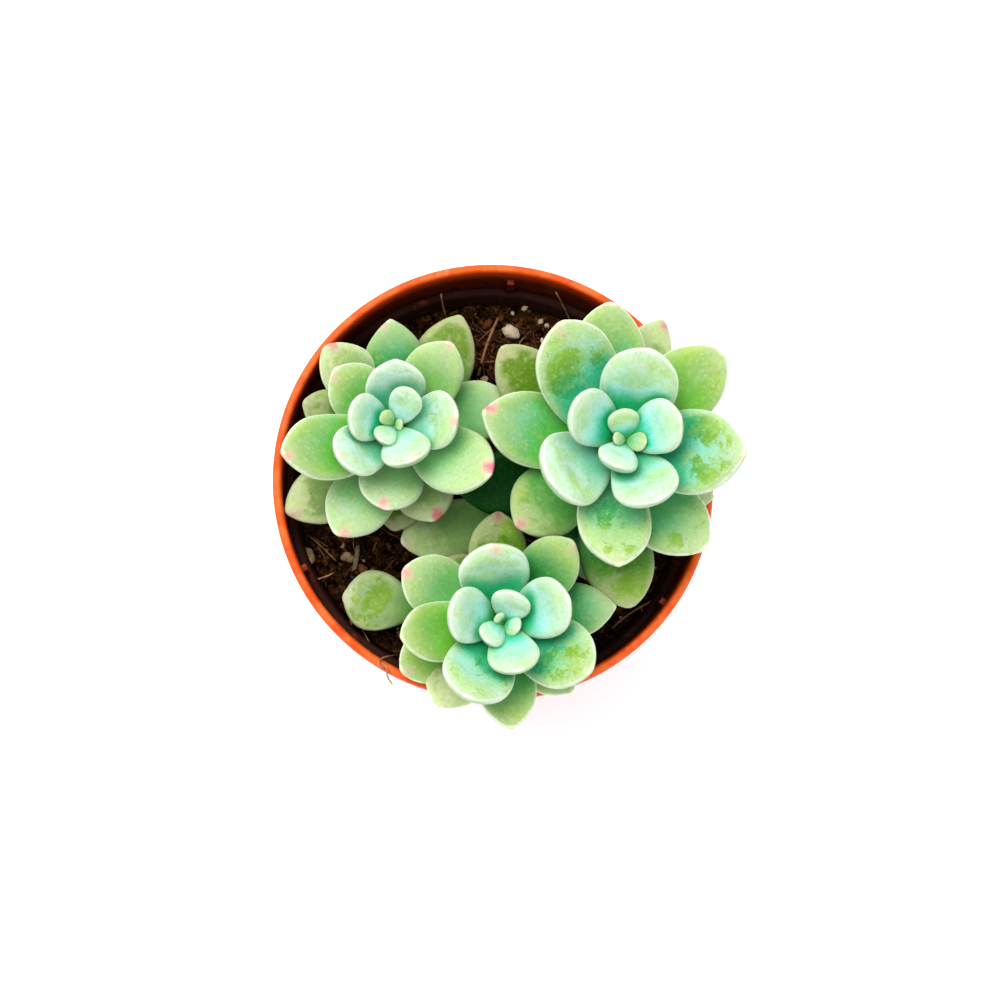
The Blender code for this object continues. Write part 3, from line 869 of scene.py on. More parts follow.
# Rows are leaves, youngest first: (degrees off the golden spiral, reach of the tip, width, extra lift)
STEMS = {
    "rosette_right": {
        "apex": (23.7, 4.8, 92.0), "elbow": (19.0, 2.6, 75.0), "foot": (3.0, -6.0),
        "start": 191.5, "hand": 1,
        "leaves": (
            (-16, 2.6, 2.6, 0), (17, 3.5, 3.8, 0), (-5, 5.1, 6, 0), (2, 6.4, 7.8, 0), (-3, 9.5, 10.4, 0),
            (-8, 11.7, 10.4, 0), (-5, 13.5, 12.4, 0), (2, 15.5, 14.4, 0), (-2, 17.3, 14.6, 0),
            (1, 21.1, 16.4, 0), (-5, 24.2, 16, 0), (1, 24, 14, 0), (1, 24.2, 14.4, 0),
            (-10, 27.1, 14.2, 0), (-10, 24.8, 14.2, 0), (1, 27, 14.8, 0), (-14, 25.2, 14.2, 0),
            (0, 20, 11.8, 0), (-7, 29.7, 13, 0), (-11, 30, 14, 0), (10, 27, 12, 0), (-5, 31.5, 13, 0),
            (-1, 20, 11.6, 0), (0, 18, 11, 0), (6, 24.5, 13, 0),
        ),
    },
    "rosette_left": {
        "apex": (-19.5, 8.8, 84.0), "elbow": (-18.3, 8.2, 72.0), "foot": (-11.0, 6.5),
        "start": 126.0, "hand": -1,
        "leaves": (
            (15, 2.9, 3, 0), (15, 1.6, 2.4, 0), (26, 4.5, 4.6, 0), (-13, 6.5, 6.4, 0), (-4, 8.8, 9.6, 0),
            (13, 8.3, 9, 0), (-17, 11.7, 11, 0), (-25, 12.8, 10.6, 0), (-17, 11.5, 11.4, 0),
            (1, 20.7, 13.2, 0), (7, 21.7, 13, 0), (2, 18.8, 11.8, 0), (-11, 15.8, 12.2, 0),
            (-3, 15.8, 11.6, 0), (15, 22.5, 12.2, 0), (19, 22.8, 12.6, 0), (6, 21.7, 12.4, 0),
            (-13, 18.6, 11.6, 0), (-9, 18, 10.4, 6), (28, 27, 12.4, 0), (15, 18.2, 10.4, 0),
            (11, 20.6, 11.6, 20), (0, 15, 9.6, 0), (14, 25.4, 12.6, 14), (0, 15, 9, 0),
        ),
    },
    "rosette_front": {
        "apex": (1.2, -29.1, 87.0), "elbow": (0.5, -27.0, 73.0), "foot": (0.5, -17.5),
        "start": 129.0, "hand": -1,
        "leaves": (
            (7, 2, 2.6, 0), (-13, 2.9, 3.8, 0), (9, 5.1, 5.4, 0), (-5, 5.5, 7.4, 0), (-16, 9.7, 9.6, 0),
            (11, 10.4, 10.6, 0), (-6, 12, 11.4, 0), (-3, 16.1, 13.6, 0), (-7, 14.2, 13.4, 0),
            (-2, 18, 13.4, 0), (-5, 19.3, 11.4, 0), (-6, 19.8, 11.2, 0), (-5, 19.3, 11.2, 0),
            (10, 21.2, 11.8, 0), (6, 21.4, 11, 0), (-22, 20.6, 11.4, 0), (3, 21.9, 11.2, 0),
            (6, 17.6, 10.8, 6), (0, 16, 10, 0), (0, 16, 10, 0), (-28, 19, 12.4, 20), (9, 17.5, 10.5, 0),
            (0, 15, 9.4, 0), (0, 15, 9.4, 0),
        ),
    },
}
# One old leaf low down on the right stem, and one shed leaf on the soil: where each starts, then its compass
# direction, pitch, length, width and curl, then its looks as in LOOKS below
LOW_LEAF = {"stem": "rosette_right", "down": 34.0, "place": (197.0, 4.0, 25.0, 11.2, 14.0),
            "looks": (0.9, 1.0, 0, 0.7, 0, 0.3, 0.5, 0.5), "age": 22}
SHED_LEAF = {"scar": (-13.7, -24.1, 66.1), "place": (172.0, -2.0, 15.2, 12.2, 12.0),
             "looks": (0.6, 1.0, 0.9, 1.0, 0, 0.6, 0, 0.5), "age": 20, "seed": 999}

# How every leaf looks, in the same order, set after the photograph, each from 0 to 1: (how thin its wax is,
# how yellow the green under it, how much is rubbed bare, its milky film, how far up it is painted dark as
# shade, how olive age has turned it, the blush at its tip, the tip's bluntness or 0 to go by age)
LOOKS = {
    "rosette_right": (
        (0.7, 0.4, 0, 0.7, 0, 0, 0, 0), (0.7, 0.4, 0, 0.3, 0, 0, 0, 0), (0.2, 0.3, 0, 0.1, 0.2, 0, 0, 0),
        (0, 0.1, 0, 1, 0, 0, 0, 0), (0, 0.1, 0, 0, 0.25, 0, 0.3, 0), (0.05, 0.2, 0.3, 0, 0.25, 0, 0.3, 0),
        (0.05, 0.3, 0.3, 0.5, 0, 0, 0.3, 0), (0.1, 0.3, 0.3, 0, 0.2, 0, 0.2, 0),
        (0.1, 0.5, 0.2, 1, 0, 0, 0.2, 0), (0.7, 0.3, 0.9, 0, 0, 0, 0.3, 0.6),
        (0.7, 0.5, 1, 0, 0, 0, 0.5, 0.5), (0.8, 0.7, 0.85, 0.55, 0, 0, 0.4, 0.6),
        (1, 0.9, 0.1, 0, 0.1, 0, 0.2, 0.5), (1, 0.4, 0, 0.1, 0, 0, 0.8, 0.6),
        (0.9, 0.6, 0.5, 0.35, 0, 0, 0.3, 0.54), (0.95, 0.6, 0.4, 0.1, 0, 0.05, 0.3, 0.5),
        (0.95, 0.7, 0.5, 0, 0.3, 0.5, 0.7, 0.52), (0.8, 0.4, 0, 0, 0.5, 0.2, 0, 0),
        (0.9, 0.8, 0, 0, 0.2, 1, 0.5, 0.5), (0.9, 0.7, 0.8, 0, 0.5, 0.9, 0, 0.48),
        (0.7, 0.6, 0, 0.5, 0, 0.6, 0.8, 0.54), (0.9, 0.3, 0, 0, 1, 0.2, 0.2, 0),
        (0.7, 0.6, 0, 1, 0, 0.4, 0.3, 0), (0.8, 0.4, 0, 0, 0.8, 0.4, 0, 0),
        (0.8, 0.2, 0.4, 0, 0.45, 0.1, 0, 0.5),
    ),
    "rosette_left": (
        (0.6, 0.4, 0, 0.5, 0, 0, 0, 0), (0.6, 0.4, 0, 0.5, 0, 0, 0, 0), (0.2, 0.4, 0, 1, 0, 0, 0, 0),
        (0, 0.3, 0, 0.8, 0.2, 0, 0, 0), (0.25, 0.6, 0, 0.9, 0, 0, 0.5, 0), (0, 0.1, 0, 0.2, 0.15, 0, 0, 0),
        (0.15, 0.6, 0, 0.8, 0, 0, 0.6, 0), (0.1, 0.4, 0, 0.7, 0.1, 0, 0.4, 0),
        (0, 0.1, 0, 0.5, 0, 0, 0, 0.58), (0.7, 0.5, 0, 0.75, 0.25, 0, 1, 0.52),
        (0.95, 0.7, 0, 0.1, 0.1, 0, 0.6, 0.58), (0.85, 0.8, 0, 0.6, 0.35, 0, 0.5, 0.52),
        (0.6, 0.5, 0, 1, 0, 0, 0.7, 0.48), (0.9, 0.7, 0.1, 0.25, 0, 0, 0.5, 0.5),
        (0.85, 0.3, 0.2, 0.5, 0.3, 0.1, 0.3, 0.48), (0.7, 0.5, 0.2, 0.8, 0, 0, 0.7, 0.5),
        (1, 0.2, 0.1, 0.1, 0.52, 0, 0.5, 0.58), (0.9, 0.9, 0, 1, 0, 0.4, 1, 0.48),
        (0.8, 0.7, 0.6, 0, 0.35, 1, 0.2, 0.48), (0.8, 0.7, 0.2, 0.1, 0.2, 1, 0.1, 0.54),
        (0.8, 0.6, 0, 0.1, 0.3, 1, 0.4, 0.5), (0.7, 0.6, 0, 1, 0, 0.6, 0.8, 0.46),
        (0.8, 0.5, 0, 0, 0.8, 0.5, 0, 0), (0.7, 0.6, 0, 0.7, 0, 0.8, 0.7, 0.52),
        (0.8, 0.5, 0, 0, 0.8, 0.5, 0, 0),
    ),
    "rosette_front": (
        (0.3, 0.2, 0, 0, 0.45, 0, 0, 0), (0.35, 0.3, 0, 0.3, 0.15, 0, 0, 0),
        (0.1, 0.2, 0, 0.4, 0.2, 0, 0, 0), (0, 0.2, 0, 0.8, 0.25, 0, 0.4, 0),
        (0.25, 0, 0.3, 0, 0.25, 0, 0, 0), (0, 0.2, 0, 0.5, 0.28, 0, 0.3, 0),
        (0, 0.1, 0.3, 0.2, 0.2, 0, 0, 0), (0.4, 0.3, 0.7, 0, 0.2, 0, 0.1, 0),
        (0.1, 0.3, 0.5, 0.2, 0.2, 0, 0.6, 0), (0.7, 0.6, 0.95, 0, 0, 0, 0.1, 0.52),
        (1, 0.9, 0, 0, 0.15, 0, 0.3, 0.54), (0.9, 0.6, 0.4, 0.2, 0.5, 0.1, 0.5, 0.5),
        (0.95, 0.8, 0.5, 0.15, 0, 0, 0.2, 0.58), (0.85, 0.7, 0.2, 0.4, 0, 0, 0.7, 0.48),
        (1, 0, 0.5, 0, 0.5, 0.1, 0.3, 0.6), (1, 1, 0, 0.1, 0, 0.1, 0.5, 0.48),
        (0.9, 0.9, 0.9, 0, 0.2, 1, 0.8, 0.52), (0.8, 0.7, 0, 1, 0, 0.2, 0.1, 0.5),
        (0.8, 0.4, 0, 0, 0.8, 0.3, 0, 0), (0.8, 0.4, 0, 0, 0.8, 0.3, 0, 0),
        (0.6, 0.8, 0, 1, 0, 0.8, 0.3, 0.5), (0.8, 0.9, 0, 0, 0.35, 0.9, 0, 0),
        (0.8, 0.4, 0, 0, 0.8, 0.3, 0, 0), (0.8, 0.4, 0, 0, 0.8, 0.3, 0, 0),
    ),
}


def stem_line(stem, count=60):
    """Points down the stem, from its growing point to the soil."""
    top, elbow = np.array(stem["apex"]), np.array(stem["elbow"])
    foot = np.array([*stem["foot"], SOIL_Z + 1.0])
    u = np.linspace(0, 1, count)[:, None]
    return (1 - u)**2 * top + 2 * u * (1 - u) * elbow + u**2 * foot


def point_down(line, distance):
    run = np.concatenate([[0], np.cumsum(np.linalg.norm(np.diff(line, axis=0), axis=1))])
    return np.array([np.interp(distance, run, line[:, k]) for k in range(3)])


def leaves_of(name):
    """Every leaf's (base, compass direction, pitch, length, width, curl), its looks and its age."""
    stem = STEMS[name]
    line = stem_line(stem)
    leaves = []
    for age, ((turn, reach, width, raised), looks) in enumerate(zip(stem["leaves"], LOOKS[name])):
        base = point_down(line, STEP_YOUNG * age + STEP_OLD * max(age - YOUNG_LEAVES, 0))
        compass = radians(stem["start"] + stem["hand"] * GOLDEN * age + turn)
        dx = stem["apex"][0] + reach * cos(compass) - base[0]
        dy = stem["apex"][1] + reach * sin(compass) - base[1]
        lift = float(np.interp(age, AGE_OF_LIFT, LIFT)) + raised
        curl = float(np.interp(age, AGE_OF_CURL, CURL))
        length = hypot(dx, dy) / cos(radians(lift)) * radians(curl / 2) / sin(radians(curl / 2))
        leaves.append(((base, degrees(atan2(dy, dx)), lift - curl / 2, length, width, curl), looks, age))
    if LOW_LEAF["stem"] == name:
        leaves.append(((point_down(line, LOW_LEAF["down"]), *LOW_LEAF["place"]), LOW_LEAF["looks"],
                       LOW_LEAF["age"]))
    return leaves


# %% [markdown]
# ## The shape of a leaf
# The leaves are thick clubs: narrow at the stem, widest past the middle, with a blunt end and a tiny point.
# Each one starts as a ball with its poles at base and tip, and formulas squeeze it: an outline, a thickness
# that is fuller below than above, a hollow face, a curl, and then a little unevenness so that no two are
# alike. While the ball is worked, every vertex is told how far along it sits, how near the margin, and the
# leaf's looks, for the finish.

# %% One fleshy leaf
THICK_SHARE, THICK_EXTRA = 0.42, 0.20
FLAT_SHARE = 0.36
FACE_SQUARE = 2.7                          # 2 is an oval section; more flattens the face
TIP_POINT = 0.03
LEAF_TAPER = 0.88                          # the outline's exponent towards the base
AGE_OF_FORM = (0, 2, 6, 10, 16, 24)
LEAF_BLUNT = (0.50, 0.46, 0.47, 0.53, 0.56, 0.56)      # the outline's exponent at the tip: lower is blunter
FACE_HOLLOW = (0.0, 0.05, 0.17, 0.11, 0.05, 0.03)      # how far the face sinks in its middle, over the width
POINT_LENGTH = 0.35                        # the tiny point at the tip, in millimetres
UNEVEN = 0.026                             # dents in the skin over the leaf's width
KEEL = 0.016
BLUSH_FROM_TIP, BLUSH_ASIDE = 0.3, 0.12    # millimetres short of the tip, and share of the width to a side
LEAF_LOOKS = ("thin", "yellow", "bare", "filmed", "shaded", "olive")
LEAF_READINGS = ("along", "edge", "face", "blush", "occlusion_shade", *LEAF_LOOKS)
LEAF_BALL = (40, 30)


def bulge(t, rise, fall):
    """0 at both ends and 1 at its widest; the exponents say how blunt each end is."""
    top = rise / (rise + fall)
    return t**rise * (1 - t)**fall / (top**rise * (1 - top)**fall)


def leaf_thickness(width):
    return width * (THICK_SHARE + THICK_EXTRA * max(0.0, (10 - width) / 10))


def shape_leaf(ball, length, width, curl, age, blunt, shift):
    """Points of a leaf along +Y with its face up, and what each knows of its place on the leaf."""
    across, up, along = -ball[:, 0], ball[:, 1], ball[:, 2]
    t = np.clip((1 + along) / 2, 0, 1)
    ring = np.sqrt(np.maximum(1 - along**2, 1e-12))
    side, rise = np.clip(across / ring, -1, 1), up / ring
    blunt = blunt or np.interp(age, AGE_OF_FORM, LEAF_BLUNT)
    hollow = np.interp(age, AGE_OF_FORM, FACE_HOLLOW)
    thick = leaf_thickness(width)
    dents = np.array([noise.noise(Vector(point) * 1.4 + shift) for point in ball])
    lean, ridge = noise.noise(shift * 1.7), noise.noise(shift * 2.3)
    swell = np.sin(pi * t)
    half = width / 2 * bulge(t, LEAF_TAPER, blunt) * (1 + 0.05 * lean * side * swell)
    face = (1 - np.abs(side)**FACE_SQUARE)**(1 / FACE_SQUARE)
    x = half * side + UNEVEN * width * dents * swell
    z = thick * bulge(t, 0.7, 0.5) * np.where(rise > 0, FLAT_SHARE * face, (1 - FLAT_SHARE) * rise)
    z = z - (rise > 0) * hollow * width * swell**2 * (1 - side**2)
    z = z + (rise > 0) * KEEL * ridge * width * swell * np.exp(-(side / 0.22)**2)
    z = z + UNEVEN * width * dents * swell * np.where(rise > 0, 1.2, 0.6)
    y = length * (t * (1 - TIP_POINT) + TIP_POINT * np.clip((t - 0.9) / 0.1, 0, 1)**2)
    y = y + POINT_LENGTH * min(1, width / 12) * np.clip((t - 0.985) / 0.015, 0, 1)**2
    flat = np.stack([x, y, z], axis=1)
    turn = radians(curl)
    radius = length / turn
    angle = turn * y / length
    points = np.stack([x, (radius - z) * np.sin(angle), radius - (radius - z) * np.cos(angle)], axis=1)
    edge = np.minimum(half * (1 - np.abs(side)), length * (1 - t)) * (14 / width)**0.5
    return points, {"along": t, "edge": edge, "face": rise, "side": side * half, "flat": flat}


def set_leaf(points, base, towards, pitch):
    """Pitches the leaf up about its base, turns it to its compass direction and moves it there."""
    a, b = radians(pitch), radians(towards - 90)
    x = points[:, 0]
    y = points[:, 1] * cos(a) - points[:, 2] * sin(a)
    z = points[:, 1] * sin(a) + points[:, 2] * cos(a)
    return np.stack([x * cos(b) - y * sin(b), x * sin(b) + y * cos(b), z], axis=1) + base


def grow_leaf(made, layers, place, looks, age, seed):
    """Works the vertices of one ball into a leaf, and gives them their readings."""
    base, towards, pitch, length, width, curl = place
    *shades, blush, blunt = looks
    luck = Random(seed)
    shift = Vector((luck.uniform(-60, 60), luck.uniform(-60, 60), luck.uniform(-60, 60)))
    points, known = shape_leaf(np.array([v.co[:] for v in made]), length, width, curl, age, blunt, shift)
    spots = set_leaf(points, base, towards, pitch) * MM
    spot_side = luck.uniform(-BLUSH_ASIDE, BLUSH_ASIDE) * width
    from_tip = np.hypot(length * (1 - known["along"]) - BLUSH_FROM_TIP, known["side"] - spot_side)
    known["blush"] = blush * np.clip(1 - from_tip / (0.10 * width + 1.2), 0, 1) * (known["face"] > -0.6)
    same = dict(zip(LEAF_LOOKS, shades), occlusion_shade=0.0)
    own_place = (known["flat"] + np.array(shift)) * MM
    for index, (v, spot) in enumerate(zip(made, spots)):
        v.co = spot
        v[layers["leaf_place"]] = own_place[index]
        for name in LEAF_READINGS:
            v[layers[name]] = same[name] if name in same else known[name][index]


# %% [markdown]
# ## The leaf's skin
# Sedum leaves wear a coat of pale wax. Where it is whole the leaf looks mint and powdery, and where it is
# thin a cool or yellow green shows through. The three ramps give those colours from the base of a leaf to
# its tip. They began as middle values measured on the photograph leaf by leaf, with the light taken out,
# and were then changed to bring the render closer. The other colours are for rubbed places, milky
# film, shade, age, margins and the blush.

# %% Colours of wax and flesh
# the mint ramp darkens towards the leaf's base: painted shade of the rosette's crowded middle
MINT_WITH_SHADED_BASE = ((0.0, (0.01, 0.19, 0.05)), (0.30, (0.02, 0.28, 0.16)), (0.45, (0.12, 0.46, 0.38)),
                  (0.60, (0.36, 0.59, 0.55)), (0.75, (0.41, 0.57, 0.49)), (0.95, (0.38, 0.48, 0.37)))
COOL_BY_LENGTH = ((0.2, (0.03, 0.26, 0.06)), (0.5, (0.10, 0.34, 0.12)), (0.65, (0.13, 0.32, 0.13)),
                  (0.8, (0.19, 0.34, 0.17)), (1.0, (0.23, 0.34, 0.20)))
WARM_BY_LENGTH = ((0.2, (0.05, 0.30, 0.01)), (0.5, (0.13, 0.37, 0.05)), (0.65, (0.16, 0.35, 0.05)),
                  (0.8, (0.20, 0.33, 0.07)), (1.0, (0.25, 0.33, 0.12)))
POWDER_FILM = (0.41, 0.56, 0.50)
WARM_WAX = (0.30, 0.45, 0.13)
FILM = (0.37, 0.47, 0.27)
OLD_FILM = (0.56, 0.55, 0.33)
CREAM_OLIVE = (0.27, 0.29, 0.14)
DARK_OLIVE = (0.10, 0.17, 0.008)
BARE_DEEP = (0.05, 0.22, 0.02)
BARE = (0.17, 0.29, 0.02)
YELLOWISH = (0.27, 0.38, 0.05)
AQUA = (0.15, 0.48, 0.42)
# painted shade: teal at the base of a leaf's inner part, and the shade colour of rubbed leaves where
# neighbours cover them
SHADED_TEAL = (0.02, 0.34, 0.22)
# painted shade: deep colours laid where neighbours hide a leaf's sky
PAINTED_SHADE_MINT = (0.004, 0.31, 0.11)
PAINTED_SHADE_GREEN = (0.07, 0.35, 0.03)
PAINTED_SHADE_WARM = (0.17, 0.42, 0.04)
PAINTED_SHADE_OLIVE = (0.06, 0.20, 0.004)
# painted shade for the leaves that are marked as shaded
HALF_SHADE = (0.015, 0.17, 0.03)
SHADE_GREEN = (0.0005, 0.050, 0.002)
# painted highlight: the colours of the pale margin's halo and rim line; the palest also serves paler flecks
# and powder of the wax
MINT_EDGE_HIGHLIGHT = (0.37, 0.47, 0.35)
GREEN_EDGE_HIGHLIGHT = (0.34, 0.42, 0.21)
PALE_WAX_AND_HIGHLIGHT = (0.62, 0.66, 0.55)
WARM_FLECK = (0.27, 0.38, 0.10)
DEEP_FLECK = (0.05, 0.22, 0.06)
PINK = (0.60, 0.07, 0.15)
PINK_HALO = (0.56, 0.29, 0.29)
MAUVE = (0.26, 0.09, 0.09)
MAUVE_HALO = (0.34, 0.23, 0.17)
CRACK = (0.04, 0.14, 0.03)


def less(tree, value, share):
    """1 where value is 0, and 1 - share where it is 1."""
    return ease(tree, value, 0.0, 1.0, 1.0, 1.0 - share)


def soft_clouds(tree, own, size, x=1.0, y=1.0, softness=0.2):
    return placed(tree, BLOTCHES, Vector=stretched(tree, own, x, y, 1.0), Size=size, Cover=0.5,
                  Softness=softness)


# %% [markdown]
# ## Wax over flesh
# The colour starts as mint wax mixed with green by how thin the wax is. Old leaves are cream at the tip and
# dark olive towards the base, with a border that wanders. A milky film lies over some leaves. Where
# neighbours cover a leaf a deep colour is painted in as shade, and on shaded leaves painted shade lies dark
# up to some way along.

# %% Wax over flesh
def wax_and_flesh(tree, own):
    """Whole wax is mint, thin wax lets the green through, and the two drift into each other over a leaf."""
    along, edge, thin = readings(tree, "along", "edge", "thin")
    yellow, olive, worn = readings(tree, "yellow", "olive", "bare")
    clouds = soft_clouds(tree, own, 9.0)
    warm, cool = soft_clouds(tree, own, 4.5, 0.9, 1.1, 0.12), soft_clouds(tree, own, 7.0, 1.5, 0.5, 0.16)
    drift = swung(tree, clouds, 0.4)
    reach = plus(tree, along, swung(tree, cool, 0.13))

    hue = ease(tree, plus(tree, yellow, drift), 0.0, 1.0)
    green = mixed(tree, hue, graded(tree, reach, COOL_BY_LENGTH), graded(tree, reach, WARM_BY_LENGTH))
    mint = graded(tree, reach, MINT_WITH_SHADED_BASE)
    colour = mixed(tree, ease(tree, plus(tree, thin, drift), 0.05, 0.95), mint, green)
    inner_part = times(tree, ease(tree, edge, 1.0, 3.2), ease(tree, along, 0.95, 0.65),
                       less(tree, yellow, 0.8))
    worn_part = times(tree, worn, ease(tree, cool, 0.0, 0.6, 0.3, 0.75))
    smooth = larger(tree, times(tree, cool, 0.55), worn_part)
    # aqua where the wax is smooth, turning towards the base into teal that is painted shade
    aqua = mixed(tree, ease(tree, along, 0.5, 0.3), AQUA, SHADED_TEAL)
    colour = mixed(tree, times(tree, inner_part, smooth), colour, aqua)
    sunny = times(tree, warm, ease(tree, edge, 4.5, 1.0), ease(tree, along, 0.4, 0.8))
    colour = mixed(tree, times(tree, sunny, ease(tree, yellow, 0.0, 1.0, 0.3, 0.7)), colour, YELLOWISH)

    blots = placed(tree, GRAIN, Vector=own, Size=6.0, Roughness=0.6)
    wandering = plus(tree, along, swung(tree, blots, 1.8))
    blotted = times(tree, ease(tree, wandering, 0.98, 0.76), ease(tree, edge, 0.3, 2.2))
    blotted = larger(tree, blotted, ease(tree, along, 0.55, 0.35))
    colour = mixed(tree, olive, colour, mixed(tree, blotted, CREAM_OLIVE, DARK_OLIVE))
    milk = mixed(tree, olive, mixed(tree, ease(tree, thin, 0.1, 0.6), POWDER_FILM, FILM), OLD_FILM)
    film = times(tree, reading(tree, "filmed"), ease(tree, along, 0.05, 0.4),
                 ease(tree, clouds, 0.0, 1.0, 0.55, 1.0))
    film = times(tree, film, minus(tree, 1.0, times(tree, blotted, ease(tree, olive, 0.0, 0.5), 0.6)))
    colour = mixed(tree, film, colour, milk)
    waxen = times(tree, warm, ease(tree, along, 0.42, 0.62), less(tree, thin, 1.0), 0.8)
    return mixed(tree, times(tree, waxen, ease(tree, yellow, 0.0, 0.5, 0.4, 1.0)), colour, WARM_WAX)


def painted_shade_where_covered(tree, colour):
    """Painted shade: a deep colour where neighbours cover a leaf, and dark shade up some way along shaded
    leaves.
    """
    along, olive, thin = readings(tree, "along", "olive", "thin")
    shade_colour = mixed(tree, ease(tree, reading(tree, "yellow"), 0.4, 1.0), PAINTED_SHADE_GREEN, PAINTED_SHADE_WARM)
    shade_colour = mixed(tree, reading(tree, "bare"), shade_colour, SHADED_TEAL)
    shade_colour = mixed(tree, olive, mixed(tree, thin, PAINTED_SHADE_MINT, shade_colour), PAINTED_SHADE_OLIVE)
    filmed = reading(tree, "filmed")
    # how much painted shade: more as neighbours hide more of the sky
    share = times(tree, ease(tree, reading(tree, "occlusion_shade"), 0.12, 0.58), ease(tree, along, 0.95, 0.6),
                  less(tree, thin, 0.25), less(tree, olive, 0.4), less(tree, filmed, 0.5), 0.95)
    share = times(tree, share, less(tree, times(tree, filmed, ease(tree, olive, 0.0, 0.4)), 0.85))
    colour = mixed(tree, share, colour, shade_colour)
    # painted shade on shaded leaves: dark from the base up, farther along the more shaded the leaf
    shaded = reading(tree, "shaded")
    reach = times(tree, along, minus(tree, 1.0, shaded))
    dark = ease(tree, reach, shaded, times(tree, shaded, 0.4))
    dark = times(tree, dark, ease(tree, shaded, 0.0, 0.08))
    return mixed(tree, dark, colour, mixed(tree, ease(tree, shaded, 0.5, 1.0), HALF_SHADE, SHADE_GREEN))


# %% [markdown]
# ## The finished skin
# Over the wax come glossy rubbed patches, a pale margin that is painted highlight, flecks, powder, pores
# and fine cracks, and the blush near the tip. The leaf's own coordinates stretch the patterns with it. The
# flesh is watery, so light goes a little way in.

# %% Waxy leaf skin
def waxy_leaf_skin():
    material, tree, shader, place = new_finish("waxy_leaf_skin", 0.5)
    own = add(tree, "Attribute", attribute_name="leaf_place").outputs["Vector"]
    along, edge, occlusion_shade, thin, olive = readings(tree, "along", "edge", "occlusion_shade", "thin", "olive")
    colour = wax_and_flesh(tree, own)

    # ragged places where the wax is rubbed off, speckled at their edges
    cover = times(tree, reading(tree, "bare"), ease(tree, along, 0.25, 0.5), ease(tree, edge, 0.0, 1.2), 0.53)
    streaks = placed(tree, GRAIN, Vector=stretched(tree, own, 1.0, 0.6, 1.0), Size=0.9, Roughness=0.75)
    ragged = stretched(tree, own, 1.0, 0.8, 1.0)
    bare = placed(tree, BLOTCHES, Vector=ragged, Size=7.0, Cover=cover, Softness=0.02)
    bare = times(tree, bare, ease(tree, streaks, 0.36, 0.48, 0.4, 1.0))
    sallow = larger(tree, ease(tree, along, 0.5, 0.85), ease(tree, reading(tree, "yellow"), 0.6, 1.0))
    flesh = mixed(tree, sallow, BARE_DEEP, BARE)
    colour = mixed(tree, times(tree, bare, 0.9), colour, flesh)
    # painted shade where neighbours cover a leaf, and on shaded leaves
    colour = painted_shade_where_covered(tree, colour)

    # a pale margin of painted highlight, only where the leaf is lit: a soft halo and a thin line on its rim
    lit = times(tree, less(tree, reading(tree, "shaded"), 1.0), ease(tree, occlusion_shade, 1.0, 0.4, 0.15, 1.0))
    edge_highlight = mixed(tree, thin, MINT_EDGE_HIGHLIGHT, GREEN_EDGE_HIGHLIGHT)
    halo_highlight = times(tree, maths(tree, "POWER", ease(tree, edge, 2.8, 0.2), 1.6), lit, less(tree, olive, 0.85))
    colour = mixed(tree, times(tree, halo_highlight, 0.6), colour, edge_highlight)
    upper = ease(tree, reading(tree, "face"), -0.4, 0.0)
    rim_highlight = times(tree, ease(tree, edge, 0.36, 0.08), lit, upper, less(tree, olive, 0.8), 0.6)
    colour = mixed(tree, rim_highlight, colour, PALE_WAX_AND_HIGHLIGHT)

    # fine unevenness: warm and deep flecks, powder left in clouds, pores and a few cracks
    open_part = times(tree, lit, ease(tree, along, 0.3, 0.6))
    mottle = placed(tree, GRAIN, Vector=own, Size=2.6, Roughness=0.7)
    warmed = times(tree, ease(tree, mottle, 0.5, 0.64), open_part, ease(tree, thin, 0.0, 0.6, 0.12, 0.4))
    fine = placed(tree, GRAIN, Vector=place, Size=0.7, Roughness=0.7)
    deeper = times(tree, ease(tree, fine, 0.48, 0.3), 0.22)
    paler = times(tree, ease(tree, fine, 0.52, 0.7), open_part, 0.2)
    powder = placed(tree, GRIT, Vector=place, Size=0.45, Share=0.1)
    powder = times(tree, powder, ease(tree, mottle, 0.5, 0.4), open_part, 0.5)
    pores = placed(tree, GRIT, Vector=place, Size=0.7, Share=0.12)
    cracks = placed(tree, HAIRLINES, Vector=own, Size=7.0, Width=0.012, Cover=0.22)
    cracks = times(tree, cracks, ease(tree, edge, 0.5, 1.5))
    colour = coated(tree, colour, (warmed, WARM_FLECK), (deeper, DEEP_FLECK), (paler, PALE_WAX_AND_HIGHLIGHT),
                    (powder, PALE_WAX_AND_HIGHLIGHT), (times(tree, pores, lit, 0.5), DEEP_FLECK),
                    (times(tree, cracks, 0.5), CRACK))

    # the blush near the tip, pink on green leaves and mauve on old ones
    blush = reading(tree, "blush")
    blot = plus(tree, blush, swung(tree, streaks, 0.9))
    shown = ease(tree, blush, 0.02, 0.2)
    around = mixed(tree, olive, PINK_HALO, MAUVE_HALO)
    colour = mixed(tree, times(tree, ease(tree, blot, 0.15, 0.55), shown, 0.5), colour, around)
    flush = times(tree, ease(tree, blot, 0.4, 0.85), shown)
    colour = mixed(tree, times(tree, flush, 0.72), colour, mixed(tree, olive, PINK, MAUVE))

    feed(tree, shader.inputs["Base Color"], colour)
    feed(tree, shader.inputs["Roughness"], ease(tree, bare, 0.0, 1.0, 0.50, 0.36))
    skin = placed(tree, GRAIN, Vector=place, Size=0.6, Roughness=0.55)
    skin = minus(tree, skin, times(tree, bare, 0.3))
    relief(tree, shader, minus(tree, skin, cracks), 0.04 * MM)
    shader.inputs["Subsurface Weight"].default_value = 0.12
    shader.inputs["Subsurface Radius"].default_value = (0.6, 1.0, 0.5)
    shader.inputs["Subsurface Scale"].default_value = 0.9 * MM
    shader.inputs["Specular IOR Level"].default_value = 0.14
    return material


